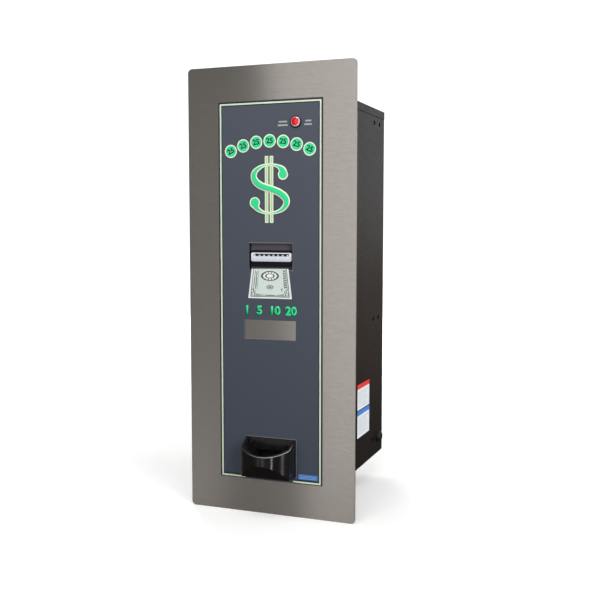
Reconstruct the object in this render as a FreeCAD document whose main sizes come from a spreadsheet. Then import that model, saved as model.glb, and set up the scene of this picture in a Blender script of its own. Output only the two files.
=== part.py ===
import FreeCAD, Part
import math
import os
import re
import Sketcher
from FreeCAD import Rotation, Vector

# Through-the-wall bill changer, loaded from the rear. Millimetres.
# The origin is the centre of the trim flange's rear face: X to the right seen from the front,
# Y back into the wall, Z up.

SIZES = [
    # trim plate and printed film
    ("plate_wide", 328, "trim plate, overall width"),
    ("plate_tall", 825, "trim plate, overall height"),
    ("plate_sheet", 3, "trim plate, stainless sheet"),
    ("plate_corner", 8, "trim plate, corner radius"),
    ("flange_margin", 50, "flange showing round the cabinet"),
    ("seat_deep", 0.5, "depth of the cabinet's locating rebate in the plate"),
    ("seat_gap", 1, "rebate beyond the cabinet cap, all round"),
    ("film_wide", 204, "printed film, width"),
    ("film_tall", 698, "printed film, height"),
    ("film_thick", 0.5, "printed film, thickness"),
    ("film_relief", 1, "film opening beyond the plate opening"),
    ("window_wide", 100, "clear window in the film, width"),
    ("window_tall", 35, "clear window in the film, height"),
    ("window_level", -66.5, "clear window, height of its centre"),
    # service lamp
    ("lamp_side", 50.8, "lamp, distance from the centre line"),
    ("lamp_drop", 104.5, "lamp, centre below the plate's top edge"),
    ("lamp_barrel", 7.8, "lamp barrel, radius"),
    ("lamp_ring", 10.8, "lamp ring, outer radius"),
    ("lamp_ring_thick", 2.6, "lamp ring, thickness"),
    ("lamp_lens", 8.4, "lamp lens, radius"),
    ("lamp_seat", 0.8, "lamp ring, floor under the lens"),
    ("lamp_lens_proud", 3.8, "lamp lens, thickness at the top of its dome"),
    ("lamp_barrel_long", 27, "lamp barrel, length behind the film"),
    ("lamp_fit", 0.2, "clearance round the lamp barrel"),
    ("lamp_nut_thick", 5, "lamp nut, thickness"),
    ("lamp_nut_wide", 13, "lamp nut, radius over corners"),
    ("lamp_tab_wide", 6.3, "lamp terminal, width"),
    ("lamp_tab_long", 8, "lamp terminal, length"),
    ("lamp_tab_thick", 0.8, "lamp terminal, thickness"),
    # bill entry
    ("bill_side", 1.5, "bill entry, distance from the centre line"),
    ("bill_level", 70.4, "height at which a note enters"),
    ("mouth_wide", 85.5, "entry opening, width"),
    ("mouth_tall", 48.7, "entry opening, height"),
    ("mouth_level", 67.5, "entry opening, height of its centre"),
    ("mouth_deep", 9, "recess of the entry, from the film's face"),
    ("tray_wall", 2.2, "entry tray, wall"),
    ("tray_rim", 7, "entry tray, rim behind the plate"),
    ("nose_wide", 82, "entry nose, width"),
    ("nose_tall", 30, "entry nose, height"),
    ("nose_level", 64, "entry nose, height of its centre"),
    ("nose_proud", 4.5, "entry nose, height over the tray's floor"),
    ("nose_round", 4, "entry nose, corner radius"),
    ("bezel_wide", 79, "lit bezel, width"),
    ("bezel_tall", 16, "lit bezel, height"),
    ("bezel_level", 66.5, "lit bezel, height of its centre"),
    ("bezel_round", 3, "lit bezel, corner radius"),
    ("bezel_recess", 1.6, "lit bezel face, below the film's face"),
    ("bezel_fit", 0.3, "clearance round the lit bezel"),
    ("slot_wide", 71, "note slot, width"),
    ("slot_tall", 4.6, "note slot, height"),
    # coin cup
    ("cup_side", 0.9, "coin cup, distance from the centre line"),
    ("cup_rise", 144.5, "coin cup, top edge above the plate's lower edge"),
    ("cup_tall", 70, "coin cup, height"),
    ("cup_flange", 100, "coin cup flange, width"),
    ("cup_flange_thick", 2, "coin cup flange and back, thickness"),
    ("cup_wide", 96, "coin cup, width"),
    ("cup_cheek", 27, "coin cup, depth of the side cheeks"),
    ("cup_deep", 50, "coin cup, depth at the middle of its bow"),
    ("cup_round", 7, "coin cup, corner radius"),
    ("cup_wall", 2.5, "coin cup, wall"),
    ("cup_fall", 0.5, "coin cup rim, fall for each unit of depth"),
    ("cup_heel", 28, "coin cup, height of the slanted underside"),
    ("cup_taper", 18, "coin cup, how far each inner side leans in"),
    ("cup_floor_back", 8, "coin cup, floor's cheeks behind the outer ones"),
    ("cup_shoulder", 14, "coin cup, height where the inside reaches the bow"),
    ("cup_screw", 1.5, "cup screw, radius"),
    ("cup_screw_fit", 0.3, "hole round a cup screw, clearance"),
    ("cup_screw_head", 3.2, "cup screw head, radius"),
    ("cup_screw_side", 38, "cup screws, beside the cup's middle"),
    ("cup_screw_drop", 8, "cup screws below the cup's top"),
    ("inlet_wide", 60, "coin inlet, width"),
    ("inlet_tall", 31, "coin inlet, height"),
    ("inlet_drop", 23, "coin inlet, its top below the cup's top"),
    # cabinet
    ("cabinet_deep", 353, "flange rear face to door outer face"),
    ("cabinet_sheet", 1.5, "cabinet steel sheet"),
    ("front_lip", 18, "cabinet front return, width"),
    ("rear_lip", 14, "cabinet rear return, width"),
    ("cap_drop", 15, "top cap, height of its side flanges"),
    ("cap_sheet", 1.2, "top cap sheet"),
    ("cap_gap", 0.2, "top cap flange, clearance to the wall"),
    ("side_hole", 4.75, "cabinet side hole, radius"),
    ("side_pitch", 38, "cabinet side holes, pitch of each pair"),
    ("side_inset", 35, "rear side hole to the door's outer face"),
    ("top_hole_drop", 29, "top pair below the cabinet top"),
    ("middle_hole_level", -70, "middle pair, height"),
    ("low_hole_rise", 36, "low pair above the cabinet floor"),
    ("stud_size", 2.5, "plate stud, radius"),
    ("stud_long", 12, "plate stud, length"),
    ("stud_fit", 0.4, "hole round a plate stud, clearance"),
    ("thread_fit", 0.05, "nut on its thread, clearance"),
    ("stud_rows", 3, "plate studs down each side"),
    ("stud_pitch", 300, "plate studs, pitch down each side"),
    ("nut_thick", 4, "plate nut, thickness"),
    ("nut_wide", 4.6, "plate nut, radius over corners"),
    # cord gland
    ("gland_bore", 4.5, "gland, cord bore radius"),
    ("gland_thread", 7.9, "gland thread, radius"),
    ("gland_fit", 0.3, "wall hole round the gland thread, clearance"),
    ("gland_head", 11, "gland head, radius"),
    ("gland_proud", 9, "gland head, height over the wall"),
    ("gland_inside", 12, "gland thread, length inside the wall"),
    ("gland_nut_thick", 5, "gland nut, thickness"),
    ("gland_nut_wide", 12.5, "gland nut, radius over corners"),
    # rear door and hinge
    ("door_sheet", 2, "door sheet"),
    ("door_gap", 1, "door to cabinet rear face"),
    ("door_return", 10, "door stiffening return, depth"),
    ("door_inset", 3, "door return, clearance inside the rear lip"),
    ("hinge_side", 3.4, "hinge axis outside the cabinet wall"),
    ("hinge_knuckle", 3.2, "hinge knuckle, radius"),
    ("hinge_pin", 1.5, "hinge pin, radius"),
    ("hinge_fit", 0.05, "hinge pin, running clearance"),
    ("hinge_leaf", 1.2, "hinge leaf, sheet"),
    ("hinge_leaf_wide", 22, "hinge leaf, width"),
    ("hinge_long", 640, "hinge, length"),
    ("hinge_knuckles", 10, "hinge, number of knuckles"),
    ("hinge_space", 0.4, "hinge, gap between knuckles"),
    ("hinge_relief", 0.6, "hinge leaf edge, clearance round the other's knuckles"),
    # lock
    ("lock_inset", 39, "lock, distance from the cabinet's side"),
    ("lock_flange", 22, "lock housing flange, radius"),
    ("lock_flange_thick", 3, "lock housing flange, thickness"),
    ("lock_barrel", 10, "lock housing barrel, radius"),
    ("lock_shaft", 5, "lock shaft, radius"),
    ("lock_thread", 3.5, "lock shaft, radius of its threaded end"),
    ("lock_fit", 0.06, "lock shaft, running clearance"),
    ("lock_hole_fit", 0.3, "door hole round the barrel, clearance"),
    ("cam_long", 34, "latch cam, reach from the shaft's axis"),
    ("cam_wide", 14, "latch cam, width"),
    ("cam_thick", 2.6, "latch cam, thickness"),
    ("cam_gap", 0.7, "latch cam behind the rear lip, clearance"),
    ("cam_nut_wide", 8, "cam nut, radius over corners"),
    ("thread_over", 2, "lock thread past its nut"),
    ("handle_wide", 66, "T-handle bar, length"),
    ("handle_tall", 15, "T-handle bar, height"),
    ("handle_thick", 12, "T-handle bar, thickness"),
    ("handle_stand", 8, "T-handle bar, clear height over the lock flange"),
    # bill transport
    ("transport_wide", 96, "bill transport, width"),
    ("transport_front", 8, "bill transport, front face behind the flange"),
    ("transport_deep", 80, "bill transport, depth"),
    ("transport_low", 36, "lower housing, height"),
    ("transport_high", 19.3, "upper housing, height"),
    ("transport_wall", 2.5, "housing wall"),
    ("path_half", 2.3, "half the note path's height"),
    ("path_wide", 74, "note path, width"),
    ("turn_wall", 4, "note guide at the turn, thickness"),
    ("belt_pitch", 22, "drive belts, distance from the transport's middle"),
    ("belt_wide", 9, "drive belt, width"),
    ("belt_thick", 1.2, "drive belt, thickness"),
    ("belt_fit", 0.1, "belt, clearance round its rollers"),
    ("belt_rise", 0.3, "drive belt above the height at which a note enters"),
    ("belt_side_gap", 1.5, "belt window, clearance beside the belt"),
    ("roller_size", 7, "drive roller, radius"),
    ("roller_shaft", 2.5, "roller shaft, radius"),
    ("roller_fit", 0.05, "roller shaft, running clearance"),
    ("roller_first", 18, "first roller shaft behind the transport's front"),
    ("roller_span", 44, "distance between the roller shafts"),
    ("gear_face", 4, "transport gears, face width"),
    ("gear_module", 1, "transport gears, module"),
    ("drive_teeth", 36, "transport drive gear, teeth"),
    ("motor_teeth", 16, "transport motor pinion, teeth"),
    ("gear_stand", 3, "transport gears outside the chassis wall"),
    ("transport_motor", 11, "transport motor, radius"),
    ("transport_motor_long", 42, "transport motor, length"),
    ("motor_shaft", 1.6, "motor shaft, radius"),
    ("motor_fit", 0.05, "motor shaft, running clearance"),
    ("motor_hole", 0.5, "hole round a motor or its shaft, clearance"),
    # stacker and magazine
    ("chassis_wide", 100, "stacker chassis, width"),
    ("chassis_tall", 194, "stacker chassis, height"),
    ("chassis_deep", 84, "stacker chassis, depth"),
    ("chassis_sheet", 2, "stacker chassis, sheet"),
    ("pusher_wide", 58, "stacker pusher, width"),
    ("pusher_tall", 140, "stacker pusher, height"),
    ("pusher_thick", 3, "stacker pusher, thickness"),
    ("pusher_back", 7, "stacker pusher's face before the magazine"),
    ("pusher_rod", 3, "pusher guide rod, radius"),
    ("pusher_rod_long", 58, "pusher guide rod, length"),
    ("pusher_rod_pitch", 50, "pusher guide rods, above and below the middle"),
    ("guide_deep", 16, "pusher guide block, depth"),
    ("guide_tall", 126, "pusher guide block, height"),
    ("guide_back", 44, "pusher guide block's rear face before the magazine"),
    ("stacker_motor", 14, "stacker gear motor, radius"),
    ("magazine_rise", 8, "note magazine above the chassis floor"),
    ("magazine_deep", 75, "note magazine, depth"),
    ("magazine_tall", 180, "note magazine, height"),
    ("magazine_wall", 2.5, "note magazine, wall"),
    ("magazine_window", 62, "note magazine, width of the stacking window"),
    ("plate_gap", 0.4, "pressure plate behind the magazine's window lips"),
    ("pressure_side_gap", 3.5, "pressure plate, clearance to the magazine's walls"),
    ("pressure_thick", 3, "pressure plate, thickness"),
    ("spring_size", 16, "pressure spring, radius"),
    ("spring_wire", 1.6, "pressure spring, wire thickness"),
    ("magazine_lid", 2.5, "magazine lid, thickness"),
    ("lid_hinge", 3, "magazine lid hinge barrel, radius"),
    ("lid_hinge_long", 40, "magazine lid hinge, length of the middle knuckle"),
    ("lid_gap", 0.5, "magazine lid, clearance"),
    ("lid_pin", 1.2, "magazine lid pin, radius"),
    # coin hopper
    ("shelf_rise", 100.5, "hopper shelf, top above the cabinet's underside"),
    ("shelf_sheet", 2, "hopper shelf, sheet"),
    ("shelf_front", 58, "hopper shelf, front edge behind the flange"),
    ("shelf_deep", 278, "hopper shelf, depth"),
    ("shelf_drop", 22, "hopper shelf, height of its side flanges"),
    ("base_wide", 180, "hopper base, width"),
    ("base_deep", 204, "hopper base, depth"),
    ("base_tall", 66, "hopper base, height"),
    ("base_wall", 3, "hopper base, wall"),
    ("base_roof", 12, "hopper base, thickness of its top"),
    ("base_round", 8, "hopper base, corner radius"),
    ("disc_back", 100, "disc axis behind the hopper base's front"),
    ("disc_size", 60, "coin disc, radius"),
    ("disc_thick", 3.6, "coin disc, thickness"),
    ("disc_lift", 2.4, "coin disc, height over the well floor"),
    ("disc_gap", 2, "well beyond the disc"),
    ("coin_holes", 5, "coin disc, number of coin holes"),
    ("coin_hole", 13, "coin disc, coin hole radius"),
    ("coin_circle", 42, "coin disc, radius of the coin holes' circle"),
    ("peg_circle", 52, "coin pegs under the disc, radius of their circle"),
    ("peg_size", 2.5, "coin peg, radius"),
    ("peg_gap", 0.6, "coin peg over the well floor"),
    ("agitator_foot", 17, "agitator, radius at its foot"),
    ("agitator_head", 7, "agitator, radius at its top"),
    ("agitator_tall", 22, "agitator, height"),
    ("agitator_reach", 24, "agitator fins, reach from the axis"),
    ("fin_half", 2, "agitator fins, half thickness"),
    ("well_deep", 7, "coin well, depth"),
    ("exit_wide", 28, "coin exit channel, width"),
    ("spindle_size", 4, "disc spindle, radius"),
    ("spindle_fit", 0.05, "disc spindle, running clearance"),
    ("spindle_over", 1, "disc spindle beyond the gear and the agitator"),
    ("bush_size", 7, "disc bush, radius"),
    ("disc_teeth", 48, "disc gear, teeth"),
    ("pinion_teeth", 12, "hopper pinion, teeth"),
    ("hopper_module", 1.5, "hopper gears, module"),
    ("hopper_gear_face", 6, "hopper gears, face width"),
    ("gear_drop", 1, "hopper gears below the base's roof"),
    ("gear_backlash", 0.25, "gears, backlash"),
    ("hopper_motor", 18, "hopper motor, radius"),
    ("hopper_motor_long", 33, "hopper motor, length"),
    ("motor_plate", 2, "hopper motor plate, thickness"),
    ("motor_post", 4, "motor post, radius"),
    ("motor_post_side", 26, "motor posts, distance from the motor's axis"),
    ("arm_side", 21, "eject arm pivot, beside the exit's middle"),
    ("arm_back", 8, "eject arm pivot behind the base's front"),
    ("arm_finger_side", 12, "eject finger, beside the exit's middle"),
    ("arm_finger_back", 25, "eject finger behind the base's front"),
    ("arm_thick", 4, "eject arm, thickness"),
    ("arm_hub", 5, "eject arm hub, radius"),
    ("arm_pin", 2, "eject arm pivot, radius"),
    ("arm_fit", 0.05, "eject arm, running clearance"),
    ("arm_flank", 1, "eject arm, hub and finger boss beyond its lever"),
    ("peg_over", 1, "hopper pegs, height over the eject arm"),
    ("pocket_side", 10, "finger pocket, width beside the exit channel"),
    ("pocket_half", 8, "finger pocket, to each side of the finger"),
    ("arm_spring_back", 17, "eject spring behind the base's front"),
    ("spring_reach", 24, "eject spring peg beside the arm's pivot"),
    ("eject_spring", 2.5, "eject spring, radius"),
    ("eject_wire", 0.8, "eject spring, wire thickness"),
    ("sensor_wide", 18, "coin sensor, width"),
    ("sensor_deep", 18, "coin sensor, depth"),
    ("sensor_tall", 10, "coin sensor, height"),
    ("sensor_side", 2, "coin sensor beside the exit channel"),
    ("sensor_bridge", 4, "coin sensor, thickness of its bridge"),
    ("finger_size", 3, "eject finger, radius"),
    ("bin_wall", 2.5, "coin bin, wall"),
    ("bin_collar", 10, "coin bin, height of its collar"),
    ("bin_funnel", 96, "coin bin, height of its funnel"),
    ("bin_drop", 32.1, "coin bin, top below the bill transport"),
    ("bin_side_gap", 14.5, "coin bin, clearance to the cabinet's walls"),
    ("bin_front", 4, "coin bin's front behind the base's front"),
    ("bin_deep", 258, "coin bin, depth"),
    ("bin_corner", 14, "coin bin, size of the bevelled corners"),
    ("chute_sheet", 1.5, "coin chute, sheet"),
    ("chute_gap", 4, "coin chute behind the plate"),
    ("chute_fit", 0.5, "plate opening beside the coin chute, clearance"),
    ("chute_clear", 2.5, "coin chute before and below the hopper exit"),
    ("chute_back_fall", 30, "coin chute, height of its upright back"),
    # electronics
    ("board_deep", 150, "control board, depth"),
    ("board_tall", 190, "control board, height"),
    ("board_thick", 1.6, "control board, thickness"),
    ("board_front", 176, "control board, front edge behind the flange"),
    ("board_low", 112, "control board, height of its lower edge"),
    ("spacer_long", 12, "board spacer, length"),
    ("spacer_size", 3, "board spacer, radius"),
    ("spacer_inset", 8, "board spacer, inset from the board's edges"),
    ("can_size", 6, "capacitor, radius"),
    ("can_tall", 22, "capacitor, height"),
    ("display_wide", 40, "count display, width"),
    ("display_tall", 20, "count display, height"),
    ("display_thick", 9, "count display, thickness"),
    ("display_along", 92, "count display along the board"),
    ("display_up", 150, "count display up the board"),
    ("button_along", 98, "test button along the board"),
    ("button_pitch", 26, "service buttons, pitch"),
    ("button_drop", 16, "service buttons below the display"),
    ("button_size", 3.5, "service button, radius"),
    ("button_proud", 5, "service button, height over its base"),
    ("button_base", 12, "service button base, width"),
    ("button_base_tall", 5, "service button base, height"),
    ("button_travel", 1.5, "service button, travel"),
    ("button_fit", 0.15, "service button, clearance in its base"),
    ("button_floor", 1, "service button base, floor"),
    ("button_stop", 0.3, "service button, clearance below its travel"),
    ("supply_wide", 58, "power supply, width"),
    ("supply_deep", 140, "power supply, depth"),
    ("supply_tall", 120, "power supply, height"),
    ("supply_rear", 24, "power supply to the door's outer face"),
    ("supply_low", 190, "power supply, height of its lower side"),
    ("supply_sheet", 1.5, "power supply, case sheet"),
    ("switch_wide", 15, "power switch, width"),
    ("switch_tall", 24, "power switch, height"),
    ("switch_rim", 2, "power switch, rim"),
    ("switch_lap", 1, "power switch, rim beyond its width and height on each side"),
    ("switch_deep", 20, "power switch, depth of its body"),
    ("switch_rise", 70, "power switch above the supply's lower side"),
    ("switch_well", 6, "power switch, well behind the rocker"),
    ("rocker_dip", 0.6, "power rocker, hollow of its face"),
    ("rocker_pivot", 1.2, "power rocker pivot, radius"),
    ("rocker_reach", 0.7, "power rocker pivot, reach into its frame"),
    ("pivot_fit", 0.05, "power rocker pivot, running clearance"),
    ("vent_pitch", 18, "supply vents, pitch"),
    ("vent_wide", 8, "supply vents, width"),
    ("vent_inset", 20, "first supply vent, from the case's front"),
    ("vent_count", 6, "supply vents, number"),
    ("vent_margin", 24, "supply vents, above and below"),
    ("rocker_tilt", 12, "power rocker, tilt at rest in degrees"),
    ("rocker_gap", 0.6, "power rocker, clearance in its rim"),
]

CABINET_WIDE = "(plate_wide - 2 * flange_margin)"
CABINET_TALL = "(plate_tall - 2 * flange_margin)"
LAMP_LEVEL = "(plate_tall / 2 - lamp_drop)"
CUP_TOP = "(-plate_tall / 2 + cup_rise)"
FILM_FACE = "(-plate_sheet - film_thick)"
WALL_TOP = f"({CABINET_TALL} / 2 - cap_sheet)"
CAP_WIDE = f"({CABINET_WIDE} + 2 * (cap_gap + cap_sheet))"
SHELL_REAR = "(cabinet_deep - door_sheet - door_gap)"
SIDE_INNER = f"({CABINET_WIDE} / 2 - cabinet_sheet)"
LOW_LEVEL = f"(-{CABINET_TALL} / 2 + low_hole_rise)"
TRAY_FLOOR = f"({FILM_FACE} + mouth_deep)"
CUP_LOW = f"({CUP_TOP} - cup_tall)"
LOCK_SIDE = f"({CABINET_WIDE} / 2 - lock_inset)"
SHELF_LEVEL = f"(-{CABINET_TALL} / 2 + shelf_rise)"
BASE_TOP = f"({SHELF_LEVEL} + base_tall)"
DISC_Y = "(shelf_front + disc_back)"
DISC_UNDER = f"({BASE_TOP} - well_deep + disc_lift)"
ROOF_UNDER = f"({BASE_TOP} - base_roof)"
HOPPER_CENTRES = "(hopper_module * (disc_teeth + pinion_teeth) / 2)"
ROLLER_LEVEL = "(bill_level + roller_size + belt_thick + belt_fit + belt_rise)"
CHASSIS_LOW = "(bill_level + path_half + transport_high)"
CHASSIS_MIDDLE = f"({CHASSIS_LOW} + chassis_tall / 2)"
MAGAZINE_FRONT = "(transport_front + chassis_deep)"
PRESSURE_FRONT = f"({MAGAZINE_FRONT} + magazine_wall + plate_gap)"
PRESSURE_HALF = "(chassis_wide / 2 - magazine_wall - pressure_side_gap)"
BIN_TOP = "(bill_level - path_half - transport_low - bin_drop)"
HINGE_X = f"(-{CABINET_WIDE} / 2 - hinge_side)"
HINGE_Y = "(cabinet_deep + hinge_leaf / 2)"
CAM_REAR = f"({SHELL_REAR} - cabinet_sheet - cam_gap)"
SUPPLY_REAR = "(cabinet_deep - supply_rear)"

AXES = {
    "X": Rotation(Vector(0, 1, 0), 90),
    "Y": Rotation(Vector(1, 0, 0), -90),
    "Z": Rotation(),
}
PLANES = {"XY": ("XY_Plane", 1), "XZ": ("XZ_Plane", -1), "YZ": ("YZ_Plane", 1)}

doc = FreeCAD.newDocument("coin_changer")
sheet = doc.addObject("Spreadsheet::Sheet", "Sizes")
for row, (alias, size, words) in enumerate(SIZES, 1):
    sheet.set(f"A{row}", words)
    sheet.set(f"B{row}", str(size))
    sheet.setAlias(f"B{row}", alias)
doc.recompute()
ALIAS = re.compile(r"\b(" + "|".join(alias for alias, size, words in SIZES) + r")\b")
pieces = []


def formula(text):
    """The same sum with each size named as a cell of the sheet."""
    return ALIAS.sub(r"Sizes.\1", str(text))


def value(text):
    return float(sheet.evalExpression(formula(text)))


def bind(item, name, text):
    item.setExpression(name, formula(text))


def place(item, x=0, y=0, z=0):
    for axis, text in zip("xyz", (x, y, z)):
        bind(item, f"Placement.Base.{axis}", text)
    return item


def keep(item, label):
    """Name a finished sub-part and add it to the ones that are written out."""
    item.Label = label
    pieces.append(item)
    return item


# Sketches and the features made from them

def body(label, x=0, y=0, z=0, kept=True):
    part = doc.addObject("PartDesign::Body", label)
    place(part, x, y, z)
    if kept:
        keep(part, label)
    return part


def sketch(part, plane, at=0):
    """A sketch parallel to an origin plane, moved along the axis that the plane faces."""
    role, sense = PLANES[plane]
    drawing = part.newObject("Sketcher::SketchObject", f"{part.Name}_outline")
    support = next(item for item in part.Origin.OriginFeatures if item.Role == role)
    drawing.AttachmentSupport = (support, [""])
    drawing.MapMode = "FlatFace"
    bind(drawing, "AttachmentOffset.Base.z", f"{sense} * ({at})")
    return drawing


def limit(drawing, constraint, text):
    index = drawing.addConstraint(constraint)
    bind(drawing, f"Constraints[{index}]", text)


def pin(drawing, edge, end, x, y):
    """Hold a point of the outline at the two sums."""
    for kind, text in (("DistanceX", x), ("DistanceY", y)):
        limit(drawing, Sketcher.Constraint(kind, -1, 1, edge, end, value(text)), text)


def polygon(drawing, points):
    first = drawing.GeometryCount
    places = [Vector(value(x), value(y), 0) for x, y in points]
    for start, stop in zip(places, places[1:] + places[:1]):
        drawing.addGeometry(Part.LineSegment(start, stop), False)
    count = len(points)
    for index in range(count):
        after = first + (index + 1) % count
        drawing.addConstraint(Sketcher.Constraint("Coincident", first + index, 2, after, 1))
    for index, (x, y) in enumerate(points):
        pin(drawing, first + index, 1, x, y)


def rectangle(drawing, left, low, right, high):
    polygon(drawing, [(left, low), (right, low), (right, high), (left, high)])


def centred(drawing, wide, tall, x=0, y=0):
    rectangle(drawing, f"{x} - {wide} / 2", f"{y} - {tall} / 2", f"{x} + {wide} / 2", f"{y} + {tall} / 2")


def circle(drawing, x, y, radius):
    centre = Vector(value(x), value(y), 0)
    edge = drawing.addGeometry(Part.Circle(centre, Vector(0, 0, 1), value(radius)), False)
    pin(drawing, edge, 3, x, y)
    limit(drawing, Sketcher.Constraint("Radius", edge, value(radius)), radius)


def rounded(drawing, left, low, right, high, radius):
    """A rectangle with four equal round corners."""
    corners = [
        (left, low, 1, 1, 180), (right, low, -1, 1, 270),
        (right, high, -1, -1, 0), (left, high, 1, -1, 90),
    ]
    arcs = []
    for x, y, inward_x, inward_y, turn in corners:
        centre_x = f"{x} + {inward_x} * ({radius})"
        centre_y = f"{y} + {inward_y} * ({radius})"
        ring = Part.Circle(Vector(value(centre_x), value(centre_y), 0), Vector(0, 0, 1), value(radius))
        start = math.radians(turn)
        arcs.append(drawing.addGeometry(Part.ArcOfCircle(ring, start, start + math.pi / 2), False))
        pin(drawing, arcs[-1], 3, centre_x, centre_y)
    for here, after in zip(arcs, arcs[1:] + arcs[:1]):
        ends = [drawing.getPoint(here, 2), drawing.getPoint(after, 1)]
        side = drawing.addGeometry(Part.LineSegment(*ends), False)
        drawing.addConstraint(Sketcher.Constraint("Tangent", here, 2, side, 1))
        drawing.addConstraint(Sketcher.Constraint("Tangent", side, 2, after, 1))
    limit(drawing, Sketcher.Constraint("Radius", arcs[0], value(radius)), radius)


def bow(drawing, half, back, cheek, deep, x=0):
    """A straight back, two cheeks and a front bowed out to its full depth."""
    left, right = f"{x} - {half}", f"{x} + {half}"
    side, crown = f"{back} - {cheek}", f"{back} - {deep}"
    points = [(right, side), (right, back), (left, back), (left, side)]
    places = [Vector(value(a), value(b), 0) for a, b in points]
    for start, stop in zip(places, places[1:]):
        drawing.addGeometry(Part.LineSegment(start, stop), False)
    front = Part.Arc(places[3], Vector(value(x), value(crown), 0), places[0])
    drawing.addGeometry(front, False)
    for index in range(4):
        drawing.addConstraint(Sketcher.Constraint("Coincident", index, 2, (index + 1) % 4, 1))
        pin(drawing, index, 1, *points[index])
    rise = f"({deep} - {cheek})"
    sweep = f"(({half}) ^ 2 + {rise} ^ 2) / (2 * {rise})"
    limit(drawing, Sketcher.Constraint("Radius", 3, value(sweep)), sweep)


def feature(part, kind, drawing, sense, add, **bound):
    """Add a sketched feature and check that it really adds or takes away material."""
    doc.recompute()
    before = part.Shape.Volume if part.Tip else 0.0
    item = part.newObject(f"PartDesign::{kind}", f"{part.Name}_{kind}")
    item.Profile = drawing
    for name, setting in sense.items():
        setattr(item, name, setting)
    for name, text in bound.items():
        bind(item, name, text)
    doc.recompute()
    change = part.Shape.Volume - before
    if (change <= 0) if add else (change >= 0):
        raise ValueError(f"{item.Name} changes nothing")
    return item


def facing(drawing):
    """The sense of the sketch's normal along its axis."""
    return -1 if drawing.AttachmentSupport[0][0].Role == "XZ_Plane" else 1


def pad(part, drawing, length, toward=1):
    return feature(part, "Pad", drawing, {"Reversed": facing(drawing) != toward}, True, Length=length)


def cut(part, drawing, length, toward=1):
    return feature(part, "Pocket", drawing, {"Reversed": facing(drawing) == toward}, False, Length=length)


def cut_through(part, drawing):
    return feature(part, "Pocket", drawing, {"Type": 1, "Midplane": True}, False)


def turned(part, drawing, axis="V_Axis"):
    """A turned shape about one of the sketch's own axes."""
    return feature(part, "Revolution", drawing, {"ReferenceAxis": (drawing, [axis])}, True)


def loft(part, sections, add=True):
    kind = "AdditiveLoft" if add else "SubtractiveLoft"
    return feature(part, kind, sections[0], {"Sections": sections[1:], "Ruled": True}, add)


def straight(edge, direction):
    """Whether an edge is a straight one along the direction."""
    if len(edge.Vertexes) != 2 or not isinstance(edge.Curve, (Part.Line, Part.LineSegment)):
        return False
    run = edge.Vertexes[1].Point - edge.Vertexes[0].Point
    return run.cross(direction).Length < 1e-6 * run.Length


def blend(part, radius, direction, where=lambda point: True):
    """Round the straight edges along a direction whose middle is where it is asked for."""
    doc.recompute()
    names = [
        f"Edge{index}" for index, edge in enumerate(part.Tip.Shape.Edges, 1)
        if straight(edge, direction) and where(edge.CenterOfMass)
    ]
    tip = part.Tip
    item = part.newObject("PartDesign::Fillet", f"{part.Name}_blend")
    item.Base = (tip, names)
    bind(item, "Radius", radius)
    doc.recompute()
    return item


# Primitives and booleans

def rod(radius, length, x=0, y=0, z=0, along="Z"):
    item = doc.addObject("Part::Cylinder", "rod")
    item.Placement.Rotation = AXES[along]
    bind(item, "Radius", radius)
    bind(item, "Height", length)
    return place(item, x, y, z)


def hexagon(corner, length, x=0, y=0, z=0, along="Z"):
    item = doc.addObject("Part::Prism", "hexagon")
    item.Polygon = 6
    item.Placement.Rotation = AXES[along]
    bind(item, "Circumradius", corner)
    bind(item, "Height", length)
    return place(item, x, y, z)


def block(wide, deep, tall, x=0, y=0, z=0):
    """A block with its low corner at the place given."""
    item = doc.addObject("Part::Box", "block")
    for name, text in (("Length", wide), ("Width", deep), ("Height", tall)):
        bind(item, name, text)
    return place(item, x, y, z)


def less(base, tool):
    item = doc.addObject("Part::Cut", "cut")
    item.Base, item.Tool = base, tool
    return item


def joined(items):
    item = doc.addObject("Part::MultiFuse", "joined")
    item.Shapes = items
    return item


def group(items):
    """Like pieces that stay separate solids of one sub-part."""
    item = doc.addObject("Part::Compound", "group")
    item.Links = items
    return item


def tube(outer, inner, length, x=0, y=0, z=0, along="Z"):
    return less(rod(outer, length, x, y, z, along), rod(inner, length, x, y, z, along))


def involute_gear(label, teeth, module, face, place_at, along, turn=0.0, bore=0.0, kept=True):
    """A spur gear with involute flanks, centred on its axis, its first tooth turned by the angle."""
    count, size = round(value(teeth)), value(module)
    pitch = size * count / 2
    pressure = math.radians(20)
    base = pitch * math.cos(pressure)
    root, tip = pitch - 1.25 * size, pitch + 0.95 * size
    half_at_pitch = math.pi / (2 * count) - value("gear_backlash") / (2 * pitch)

    def half_angle(radius):
        lean = math.acos(min(1.0, base / radius))
        return half_at_pitch + (math.tan(pressure) - pressure) - (math.tan(lean) - lean)

    start = max(base, root)
    flank = [start, pitch, tip]
    points = []
    for tooth in range(count):
        middle = turn + 2 * math.pi * tooth / count
        rising = [(root, -half_angle(start))] + [(radius, -half_angle(radius)) for radius in flank]
        falling = [(radius, -angle) for radius, angle in reversed(rising)]
        for radius, angle in rising + falling:
            spot = Vector(radius * math.cos(middle + angle), radius * math.sin(middle + angle), 0)
            if not points or (spot - points[-1]).Length > 1e-6:
                points.append(spot)
    outline = Part.Face(Part.makePolygon(points + points[:1]))
    if value(bore) > 0:
        hole = Part.Face(Part.Wire(Part.makeCircle(value(bore))))
        outline = outline.cut(hole)
    gear = doc.addObject("Part::Feature", label)
    gear.Shape = outline.extrude(Vector(0, 0, value(face)))
    gear.Placement = FreeCAD.Placement(Vector(*map(value, place_at)), AXES[along])
    if kept:
        keep(gear, label)
    return gear


# Front: trim plate, film, lamp, bill entry

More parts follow.
